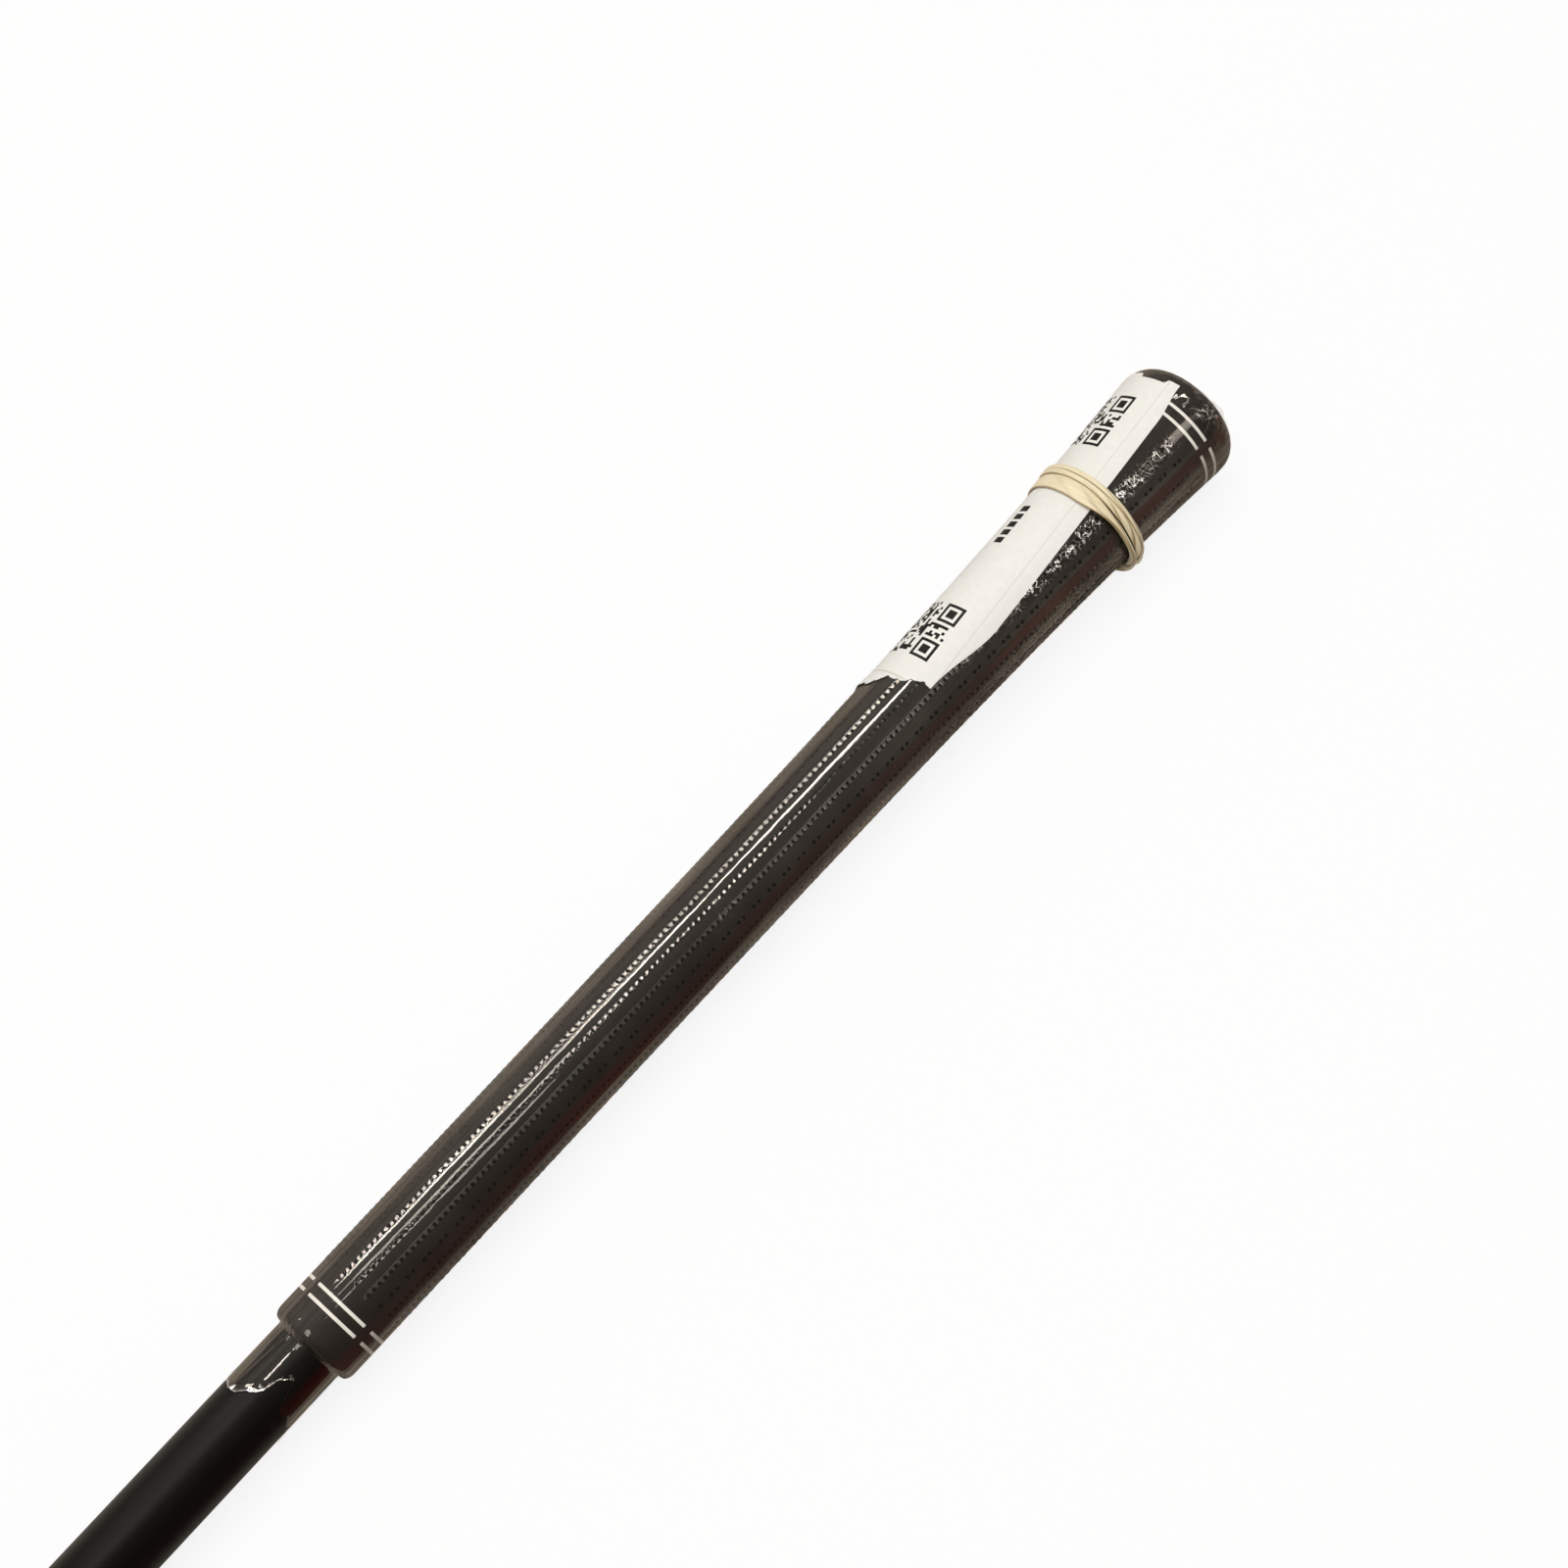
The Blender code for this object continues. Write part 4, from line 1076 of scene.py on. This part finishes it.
clear_film, tree, surface = new_material("clear_film")
parts = parts_of(tree, club_map(tree))
turn_share = sum_node(tree, "WRAP", parts["X"], 0.5, -0.5)
dots_through = add_node(
    tree,
    "ShaderNodeGroup",
    {"node_tree": make_dot_group()},
    Rows=float(DOT_ROWS),
    First_Row=FIRST_ROW_TURN / (2 * math.pi),
    Pitch=DOT_PITCH,
    Row_Width=ROW_WIDTH,
    Dot_Radius=DOT_RADIUS,
).outputs["Height"]
slow_wave = streaks(tree, 9.0, 110.0)
fine_lines = streaks(tree, 70.0, 12.0, 2.0)
patches = streaks(tree, 5.0, 28.0, 2.0)
crinkle = streaks(tree, 62.0, 800.0, 2.0)
crumple = streaks(tree, 50.0, 620.0, 3.0)
in_turn = span_node(tree, turn_share, CRINKLE_FROM, CRINKLE_FROM + CRINKLE_SOFT_FROM)
past_turn = span_node(tree, turn_share, CRINKLE_TO - CRINKLE_SOFT_TO, CRINKLE_TO, 1.0, 0.0)
in_turn = times(tree, in_turn, past_turn)
in_length = span_node(tree, parts["Y"], CRINKLED_LENGTH - CRINKLE_FADE, CRINKLED_LENGTH, 1.0, 0.0)
in_length = times(tree, in_length, span_node(tree, parts["Y"], *CRINKLE_START))
beside_label = times(tree, in_turn, in_length)
crinkled = times(tree, crinkle, beside_label)
at_butt = span_node(tree, parts["Y"], CRUMPLE_FULL, CRUMPLE_END, 1.0, 0.0)
from_bare = absolute(tree, plus(tree, turn_share, BARE_MIDDLE))
gathered = times(tree, at_butt, span_node(tree, from_bare, *BARE_WIDTH, 1.0, 0.0))
crumpled = times(tree, crumple, gathered)
creased = largest(tree, beside_label, gathered)

# The pinch: rays that fan out from one spot, each of them a thin line that wanders a little
round_grip = 2 * math.pi * taper(PINCH_PLACE)
from_pinch = times(tree, minus(tree, PINCH_TURN, turn_share), round_grip)
off_pinch = minus(tree, parts["Y"], PINCH_PLACE)
off_pinch = sum_node(tree, "MULTIPLY_ADD", streaks(tree, 25.0, 400.0), PINCH_WANDER, off_pinch)
off_pinch = minus(tree, off_pinch, PINCH_WANDER / 2)
fan = sum_node(tree, "ARCTAN2", off_pinch, from_pinch)
ray = absolute(tree, sum_node(tree, "SINE", times(tree, fan, PINCH_RAYS)))
in_fan = span_node(tree, absolute(tree, fan), *PINCH_SPREAD, 1.0, 0.0)
near_pinch = span_node(tree, from_pinch, PINCH_FULL_SHARE * PINCH_LENGTH, PINCH_LENGTH, 1.0, 0.0)
in_fan = times(tree, in_fan, near_pinch)
pinch = times(tree, span_node(tree, ray, *RAY_WIDTH, RAY_WHITE, 0.0), in_fan)

# The creases: contour lines of a noise, broken up by another one
contour = absolute(tree, minus(tree, streaks(tree, 50.0, 640.0), 0.5))
contour = span_node(tree, contour, *CONTOUR_WIDTH, 1.0, 0.0)
broken = span_node(tree, streaks(tree, 34.0, 300.0), *BREAK_SPAN)
creases = times(tree, times(tree, contour, broken), creased)
creases = times(tree, largest(tree, creases, pinch), CREASE_SHARE)

bump = None
for height, lift in (
    (dots_through, DOT_PRESS),
    (slow_wave, SLOW_LIFT),
    (fine_lines, LINE_LIFT),
    (crinkled, CRINKLE_LIFT),
    (crumpled, CRUMPLE_LIFT),
):
    bump = add_bump(tree, height, lift, bump)

# How much is mirrored: little on the dots of the top side, unevenly elsewhere, most on white lines
mirror = add_node(tree, "ShaderNodeFresnel", IOR=FILM_IOR, Normal=bump).outputs[0]
mirror = sum_node(tree, "MINIMUM", mirror, MOST_MIRRORED)
dot_size = span_node(tree, streaks(tree, 30.0, 420.0), *NOISE_RANGE, *DOT_SIZES)
on_dot = span_node(tree, times(tree, dots_through, dot_size), *DOT_EDGE, 1.0, ON_DOT_MIRROR)
left_flank = span_node(tree, turn_share, *LEFT_FLANK, 0.0, LEFT_FLANK_MIRROR)
right_flank = span_node(tree, turn_share, *RIGHT_FLANK, RIGHT_FLANK_MIRROR, 0.0)
on_dot = largest(tree, on_dot, largest(tree, left_flank, right_flank))
band_lines = span_node(tree, fine_lines, *NOISE_RANGE, *LINE_MIRROR)
uneven = times(tree, band_lines, span_node(tree, patches, *PATCH_RANGE, *PATCH_MIRROR))
mirror = times(tree, times(tree, mirror, on_dot), uneven)
mirror = times(tree, mirror, span_node(tree, creased, 0.0, 1.0, 1.0, CREASED_MIRROR))
rim = point_mark(tree, "torn_rim")
white_line = largest(tree, rim, creases)
mirror = largest(tree, mirror, times(tree, white_line, WHITE_LINE_MIRROR))
rough = sum_node(tree, "MULTIPLY_ADD", white_line, WHITE_LINE_ROUGH, FILM_ROUGH)
tint = blend_node(tree, span_node(tree, fine_lines, *PATCH_RANGE), (1.0, 0.97, 0.92), (1.0, 0.92, 0.83))
tint = blend_node(tree, white_line, tint, (0.94, 0.97, 1.0))
shine = add_node(tree, "ShaderNodeBsdfGlossy", Color=tint, Roughness=rough, Normal=bump).outputs[0]
clear = add_node(tree, "ShaderNodeBsdfTransparent", Color=(0.97, 0.96, 0.94)).outputs[0]
mix_shaders(tree, mirror, clear, shine, surface)

first = np.broadcast_to(film_turn / (2 * math.pi), film_path.shape)
film = skin("shrink_film", film_points, clear_film, first, film_path, smooth_angle=80)
mark_points(film.data, "torn_rim", torn_rim.ravel())
settle(film, "clear_film", "protective_film")

# %% [markdown]
# The label's print is two blocks of random squares and a row of plain bars. They are drawn by nodes on the
# label's own map, which holds the distance across and down the paper in metres. One node group draws a
# block wherever it is asked to.

# %% Label print
INK_CHANCE = 0.52
# The square marks at two corners of a block, in cells
MARK_MIDDLE = 3.5
MARK_FRAME = 3.0
MARK_CORE = 1.5
MARK_REACH = 4.5
HALF_CELL = 0.5


def make_block_group():
    inputs = [(name, "Float") for name in ("Left", "Top", "Size", "Cells", "Seed")]
    tree, given, end = new_group("printed_block", "ShaderNodeTree", inputs, ("Ink", "Float"))
    parts = parts_of(tree, club_map(tree))
    cells = []
    inside = 1.0
    for part, start in (("X", "Left"), ("Y", "Top")):
        share = sum_node(tree, "DIVIDE", minus(tree, parts[part], given[start]), given["Size"])
        held = sum_node(tree, "COMPARE", share, 0.5, 0.5)
        inside = times(tree, held, inside)
        cells.append(times(tree, share, given["Cells"]))
    numbers = [sum_node(tree, "FLOOR", cell) for cell in cells]
    spot = add_node(tree, "ShaderNodeCombineXYZ", X=numbers[0], Y=numbers[1], Z=given["Seed"]).outputs[0]
    chance = add_node(tree, "ShaderNodeTexWhiteNoise", {"noise_dimensions": "3D"}, Vector=spot)
    ink = sum_node(tree, "GREATER_THAN", chance.outputs["Value"], INK_CHANCE)
    for middle in (MARK_MIDDLE, minus(tree, given["Cells"], MARK_MIDDLE)):
        aside = absolute(tree, minus(tree, cells[0], MARK_MIDDLE))
        along = absolute(tree, minus(tree, cells[1], middle))
        reach = largest(tree, aside, along)
        frame_line = sum_node(tree, "COMPARE", reach, MARK_FRAME, HALF_CELL)
        core = sum_node(tree, "LESS_THAN", reach, MARK_CORE)
        mark = largest(tree, frame_line, core)
        near = sum_node(tree, "LESS_THAN", reach, MARK_REACH)
        apart = times(tree, ink, minus(tree, 1.0, near))
        ink = sum_node(tree, "MULTIPLY_ADD", mark, near, apart)
    tree.links.new(times(tree, ink, inside), end)
    return tree


block_group = make_block_group()
BLOCK_SIZE = 14.3 * MM
BLOCK_CELLS = 21
BLOCK_SIDE = 6.6 * MM
BLOCK_TOPS = (6.0 * MM, 67.0 * MM)
BARS_SIDE = 11.2 * MM
BARS_WIDTH = 2.6 * MM
BARS_TOP = 38.6 * MM
BARS_LENGTH = 11.4 * MM
BAR_PITCH = 2.3 * MM
BAR_SHARE = 0.7
CREASE_SIDE = 2.4 * MM
CREASE_WIDTH = (0.05 * MM, 0.2 * MM)
FOLD_TOP = 87 * MM
FOLD_WIDTH = (0.06 * MM, 0.28 * MM)
FOLD_FROM = (6.5 * MM, 9 * MM)

label_paper, tree, surface = new_material("label_paper")
parts = parts_of(tree, club_map(tree))
ink = None
for number, top in enumerate(BLOCK_TOPS):
    block = add_node(
        tree,
        "ShaderNodeGroup",
        {"node_tree": block_group},
        Left=BLOCK_SIDE,
        Top=top,
        Size=BLOCK_SIZE,
        Cells=float(BLOCK_CELLS),
        Seed=3.0 + number,
    ).outputs["Ink"]
    ink = block if ink is None else largest(tree, ink, block)
bar_across = sum_node(tree, "COMPARE", parts["X"], BARS_SIDE + BARS_WIDTH / 2, BARS_WIDTH / 2)
bar_down = sum_node(tree, "COMPARE", parts["Y"], BARS_TOP + BARS_LENGTH / 2, BARS_LENGTH / 2)
bar_number = sum_node(tree, "DIVIDE", minus(tree, parts["Y"], BARS_TOP), BAR_PITCH)
bar_line = sum_node(tree, "LESS_THAN", sum_node(tree, "FRACT", bar_number), BAR_SHARE)
bars = times(tree, times(tree, bar_across, bar_down), bar_line)
ink = largest(tree, ink, bars)
fibre = object_noise(tree, 700.0, 4.0)
paper = blend_node(tree, span_node(tree, fibre, *NOISE_RANGE), (0.845, 0.835, 0.79), (0.875, 0.865, 0.825))
# Painted shade: a thin darker line along a crease near the right edge, and another along the fold near the
# lower end. The paper also goes a little darker towards the right edge.
crease_shade = absolute(tree, minus(tree, parts["X"], CREASE_SIDE))
crease_shade = span_node(tree, crease_shade, *CREASE_WIDTH, 0.55, 0.0)
paper = blend_node(tree, crease_shade, paper, (0.70, 0.62, 0.60))
fold_shade = absolute(tree, minus(tree, parts["Y"], FOLD_TOP))
fold_shade = span_node(tree, fold_shade, *FOLD_WIDTH, 0.75, 0.0)
fold_shade = times(tree, fold_shade, span_node(tree, parts["X"], *FOLD_FROM))
paper = blend_node(tree, fold_shade, paper, (0.62, 0.54, 0.50))
edge = span_node(tree, parts["X"], 0.0, CREASE_SIDE, 0.35, 0.0)
paper = blend_node(tree, edge, paper, (0.83, 0.79, 0.77))
shade = blend_node(tree, ink, paper, (0.012, 0.009, 0.008))
rough = span_node(tree, fibre, *NOISE_RANGE, 0.5, 0.62)
bump = add_bump(tree, fibre, 0.02 * MM, strength=0.15)
add_coat(tree, surface, shade, rough, bump, Specular_IOR_Level=0.1)
print("label print: blocks of", BLOCK_CELLS, "cells")

# %% [markdown]
# The paper itself is a flat grid that is bent round the grip: a point keeps its distance along the paper
# as it goes round, so the label keeps its cut size. Its lower end and its right edge stand off a little,
# most of all at the lower left corner.

# %% Label shape
LABEL_RISE = 0.10 * MM
LABEL_COLUMNS = 60
LABEL_ROWS = 150
CURL_HEIGHT = 0.12 * MM
END_LIFT = 0.12 * MM
SIDE_LIFT = 0.06 * MM
END_LIFT_LENGTH = 5 * MM
LEFT_PART = (10 * MM, 20 * MM)
SIDE_LIFT_WIDTH = 0.8 * MM

straight = np.linspace(0, LABEL_WIDTH, LABEL_COLUMNS)[None, :]
share = np.linspace(0, 1, LABEL_ROWS)[:, None]
down = label_top(straight) + share * (label_end(straight) - label_top(straight))
across = straight + label_side(down) * (1 - straight / LABEL_WIDTH)
label_distance, label_arc = label_place(across, down)
near_end = soft_step(down, label_end(across) - END_LIFT_LENGTH, label_end(across))
near_left = soft_step(across, *LEFT_PART)
near_side = soft_step(-across, -SIDE_LIFT_WIDTH, 0.0)
curl = CURL_HEIGHT * near_end * near_left + END_LIFT * near_end + SIDE_LIFT * near_side
label_base = film_radius(label_distance) + LABEL_RISE
label_points = on_club(label_distance, label_arc / label_base, label_base + curl)
label = skin("paper_label", label_points, label_paper, across, down, closed_round=False)
settle(label, "white_paper", "stock_label")

# %% [markdown]
# The rubber band goes round three times. On the label two narrow strands lie above one wide flat strand.
# Past the label's edge they run together into a twisted bundle, and behind the grip each strand moves over
# to the place of the next, so that the three turns are one closed loop. The loop is a ring of sections.

# %% Rubber band
BAND_STRANDS = 3
BAND_STEPS = 150
BAND_CORNERS = 20
BAND_START = math.radians(130)
BAND_CLEARANCE = 0.2 * MM
# Where the third strand crosses the others behind the grip, in degrees from the start, and its height there
CROSSING = (250, 340)
CROSSING_LIFT = 1.1 * MM
# Powers that square off the strand's section, and how often the map repeats along the loop
FLAT_POWER = 0.7
THICK_POWER = 0.8
MAP_REPEATS = 40
# The turns from the top, in degrees, at which the strands' courses are given
BAND_TURNS = np.array([130, 90, 10, -48, -98, -130, -215])
# For each strand at those turns: distance from the butt, width and thickness, in mm
STRAND_PLACE = np.array([
    (33.1, 33.1, 32.8, 33.1, 32.8, 32.2),
    (34.4, 34.4, 34.1, 34.5, 34.1, 33.8),
    (37.1, 37.1, 36.6, 36.3, 35.7, 35.6),
])
STRAND_WIDTH = np.array([
    (1.3, 1.3, 1.3, 1.6, 1.6, 1.6),
    (1.3, 1.3, 1.2, 1.7, 1.7, 1.7),
    (3.8, 3.8, 4.2, 2.0, 1.9, 2.2),
])
STRAND_THICK = np.array([
    (0.8, 0.8, 0.9, 1.1, 1.1, 1.1),
    (0.8, 0.8, 0.9, 1.2, 1.2, 1.1),
    (0.55, 0.55, 0.6, 1.1, 1.1, 1.0),
])
STRAND_TWIST = np.array([(0, 0, 8, 40, 55, 20), (0, 0, -12, -45, -75, -20), (0, 0, 6, 50, 80, 10)])
STRAND_LIFT = np.array([(0, 0, 0, 0.1, 0.1, 0), (0, 0, 0.1, 0.5, 0.5, 0.1), (0, 0, 0, 0.1, 0.1, 0)])
STRAND_GATHERED = np.array([(0, 0, 0.15, 1, 1, 0.4)] * 3)

band_rubber, tree, surface = new_material("band_rubber")
place = club_map(tree)
parts = parts_of(tree, place)
grain_place = add_node(tree, "ShaderNodeMapping", Vector=place, Scale=(9.0, 0.5, 1.0)).outputs[0]
grain = add_node(tree, "ShaderNodeTexNoise", Vector=grain_place, Scale=3.0, Detail=3.0).outputs["Fac"]
# Painted shade: the strands' sides go dark brown, partly the real colour of a cut edge and partly shade
# between the strands
edge = absolute(tree, sum_node(tree, "SINE", times(tree, parts["X"], 2 * math.pi)))
edge = span_node(tree, edge, 0.2, 0.75, 1.0, 0.0)
shade = blend_node(tree, span_node(tree, grain, *NOISE_RANGE), (0.80, 0.69, 0.44), (0.88, 0.78, 0.55))
shade = blend_node(tree, times(tree, edge, 0.8), shade, (0.36, 0.23, 0.09))
# Painted shade: dark brown lines wind round the twisted bundle where its strands press together
gathered = point_mark(tree, "gathered")
wound = sum_node(tree, "MULTIPLY_ADD", parts["X"], 4.0, times(tree, parts["Y"], 0.8))
crease_shade = sum_node(tree, "SINE", times(tree, wound, 2 * math.pi))
crease_shade = times(tree, span_node(tree, crease_shade, 0.35, 0.95, 0.0, 0.8), gathered)
shade = blend_node(tree, crease_shade, shade, (0.22, 0.13, 0.05))
bump = add_bump(tree, grain, 0.06 * MM, strength=0.5)
add_coat(tree, surface, shade, 0.55, bump, Sheen_Weight=0.1)

loop_share = np.arange(BAND_STRANDS * BAND_STEPS) / (BAND_STRANDS * BAND_STEPS)
strand = np.arange(BAND_STRANDS * BAND_STEPS) // BAND_STEPS
progress = (loop_share * BAND_STRANDS - strand) * 360


def strand_course(values):
    """One value along the whole loop: behind the grip each strand moves over to the next one's start."""
    joined = np.concatenate([values, np.roll(values[:, :1], -1, axis=0)], axis=1)
    stations = BAND_TURNS[0] - BAND_TURNS
    after = np.clip(np.searchsorted(stations, progress, side="right"), 1, len(stations) - 1)
    share = soft_step(progress, stations[after - 1], stations[after])
    share = np.where(progress >= stations[-1], 1.0, share)
    return joined[strand, after - 1] * (1 - share) + joined[strand, after] * share


measures = (STRAND_PLACE, STRAND_WIDTH, STRAND_THICK)
course = np.stack([strand_course(values) for values in measures], axis=1) * MM
lift = strand_course(STRAND_LIFT) * MM
behind = soft_step(progress, *CROSSING)
lift = lift + np.where(strand == BAND_STRANDS - 1, CROSSING_LIFT * np.sin(math.pi * behind), 0.0)
twist = np.radians(strand_course(STRAND_TWIST))
around = np.arange(BAND_CORNERS) / BAND_CORNERS * 2 * math.pi
flat_way = np.sign(np.cos(around)) * np.abs(np.cos(around)) ** FLAT_POWER
thick_way = np.sign(np.sin(around)) * np.abs(np.sin(around)) ** THICK_POWER
wide = flat_way[None, :] * course[:, 1:2] / 2
thick = thick_way[None, :] * course[:, 2:3] / 2
along_offset = wide * np.cos(twist)[:, None] - thick * np.sin(twist)[:, None]
out_offset = wide * np.sin(twist)[:, None] + thick * np.cos(twist)[:, None]
band_turn = (BAND_START - loop_share * BAND_STRANDS * 2 * math.pi)[:, None]
band_distance = course[:, 0:1] + along_offset
clearance = BAND_CLEARANCE + np.abs(out_offset).max(axis=1)[:, None]
band_radius = film_radius(band_distance) + clearance + lift[:, None] + out_offset
band_points = on_club(band_distance, band_turn, band_radius)
band_points[..., 2] = np.maximum(band_points[..., 2], 0.0)
along_map = np.broadcast_to(loop_share[:, None] * MAP_REPEATS, band_distance.shape)
round_map = np.broadcast_to(around[None, :] / (2 * math.pi), band_distance.shape)
band = skin("wound_band", band_points, band_rubber, round_map, along_map, closed_along=True, smooth_angle=60)
gathered_share = np.repeat(strand_course(STRAND_GATHERED), BAND_CORNERS)
mark_points(band.data, "gathered", gathered_share)
settle(band, "cream_rubber", "rubber_band")

# %% [markdown]
# The shaft is a steel tube that steps down to its tip, painted satin black. A rule makes it: a line of
# points along the axis, each with a radius. The nodes turn the line into a curve, give the curve its
# radii and sweep a circle along it.

# %% Shaft
SHAFT_SIDES = 96


def make_tube_tree():
    inputs = [BODY, ("Sides", "Int"), ("Paint", "Material")]
    tree, given, end = new_group("stepped_tube", "GeometryNodeTree", inputs, BODY)
    line = add_node(tree, "GeometryNodeMeshToCurve", Mesh=given["Geometry"])
    ring = add_node(tree, "GeometryNodeCurvePrimitiveCircle", Resolution=given["Sides"], Radius=1.0)
    swept = add_node(
        tree,
        "GeometryNodeCurveToMesh",
        Curve=line.outputs[0],
        Profile_Curve=ring.outputs[0],
        Scale=named_mark(tree, "tube_radius", "FLOAT"),
        Fill_Caps=True,
    )
    return close_body(tree, swept, given["Paint"], end)


black_paint, tree, surface = new_material("black_paint")
cloud = object_noise(tree, 260.0, 4.0, (0.15, 1.0, 1.0))
grain = object_noise(tree, 3000.0, 2.0)
shade = blend_node(tree, cloud, (0.0028, 0.0025, 0.0021), (0.0042, 0.0037, 0.0032))
rough = span_node(tree, cloud, *NOISE_RANGE, 0.36, 0.46)
bump = add_bump(tree, grain, 0.02 * MM, strength=0.12)
add_coat(tree, surface, shade, rough, bump, Specular_IOR_Level=0.16)

tube_mesh = bpy.data.meshes.new("shaft_line")
tube_points = on_club(shaft_place, 0.0, 0.0)
tube_edges = [(i, i + 1) for i in range(len(shaft_place) - 1)]
tube_mesh.from_pydata(tube_points.tolist(), tube_edges, [])
mark_points(tube_mesh, "tube_radius", shaft_radius)
tube_source = add_object("shaft_line", tube_mesh)
shaft_mesh = run_tree(tube_source, make_tube_tree(), {"Sides": SHAFT_SIDES, "Paint": black_paint})
shaft_mesh.materials.clear()
shaft = new_object("stepped_shaft", shaft_mesh, black_paint, smooth_angle=30)
settle(shaft, "black_steel", "shaft")

# %% [markdown]
# The ferrule is the plastic collar that runs from the thin tip of the shaft to the wider hosel of the head.
# It is glossier than the shaft.

# %% Ferrule
gloss_plastic, tree, surface = new_material("gloss_plastic")
cloud = object_noise(tree, 400.0, 3.0)
shade = blend_node(tree, cloud, (0.006, 0.006, 0.0065), (0.010, 0.010, 0.0105))
rough = span_node(tree, cloud, *NOISE_RANGE, 0.16, 0.26)
add_coat(tree, surface, shade, rough)
ferrule_place, ferrule_radius = club_outline("ferrule")
ferrule_bore = club_outline("ferrule", outer=False)[1].min()
profile = pairs(ferrule_place, ferrule_radius)
profile += [(ferrule_place.max(), ferrule_bore), (ferrule_place.min(), ferrule_bore)]
ferrule = turned("ferrule_collar", profile, gloss_plastic, smooth_angle=30)
settle(ferrule, "black_plastic", "ferrule")

# %% [markdown]
# The head is one forged piece of steel, bead blasted to a satin finish, with a milled face. Its form is
# right in the frame, so the frame's own mesh is copied, merged and shaded smooth across its soft edges.
# The flat face gets its own finish, with the fine lines of the mill.

# %% Club head
FACE_WAY = Vector(mounts["striking_face"]["axis"]).normalized()
FACE_SPOT = Vector(mounts["striking_face"]["pos_m"])
FACE_REACH = 0.15 * MM
MILL_PITCH = 0.55 * MM
GRAIN_DEPTH = 0.03 * MM
MERGE_REACH = 0.005 * MM
FLAT_ENOUGH = 0.999


def make_steel(name, milled):
    material, tree, surface = new_material(name)
    cloud = object_noise(tree, 120.0, 5.0)
    grain = object_noise(tree, 2200.0, 2.0)
    shade = blend_node(tree, span_node(tree, cloud, *NOISE_RANGE), (0.50, 0.49, 0.475), (0.60, 0.59, 0.575))
    rough = span_node(tree, cloud, *NOISE_RANGE, 0.30, 0.40)
    bump = add_bump(tree, grain, GRAIN_DEPTH, strength=0.25)
    if milled:
        up_face = Vector((0, 1, 0)).cross(FACE_WAY).normalized()
        height = add_node(
            tree, "ShaderNodeVectorMath", {"operation": "DOT_PRODUCT"}, Vector=object_place(tree)
        )
        height.inputs[1].default_value = up_face
        wave = times(tree, height.outputs["Value"], 2 * math.pi / MILL_PITCH)
        bump = add_bump(tree, sum_node(tree, "SINE", wave), GRAIN_DEPTH, bump, strength=0.35)
    add_coat(tree, surface, shade, rough, bump, Metallic=1.0)
    return material


satin_steel = make_steel("satin_steel", False)
milled_steel = make_steel("milled_steel", True)
shape = bmesh.new()
shape.from_mesh(cad_nodes["club_head"].data)
bmesh.ops.remove_doubles(shape, verts=shape.verts, dist=MERGE_REACH)
for face in shape.faces:
    near = abs((face.calc_center_median() - FACE_SPOT).dot(FACE_WAY)) < FACE_REACH
    face.material_index = 1 if near and face.normal.dot(FACE_WAY) > FLAT_ENOUGH else 0
head_mesh = mesh_of("forged_head", shape)
head = new_object("forged_head", head_mesh, satin_steel, smooth_angle=32)
head_mesh.materials.append(milled_steel)
settle(head, "satin_steel", "club_head")

# %% [markdown]
# The grip tape is out of sight under the sleeve. It keeps its own shape and only gets a paper finish.

# %% Grip tape
tape_paper, tree, surface = new_material("tape_paper")
fibre = object_noise(tree, 800.0, 5.0)
shade = blend_node(tree, fibre, (0.52, 0.45, 0.34), (0.66, 0.60, 0.48))
bump = add_bump(tree, fibre, 0.03 * MM, strength=0.2)
add_coat(tree, surface, shade, 0.8, bump)
for slot in cad_nodes["grip_tape"].material_slots:
    slot.material = tape_paper
print("tape slots:", len(cad_nodes["grip_tape"].material_slots))
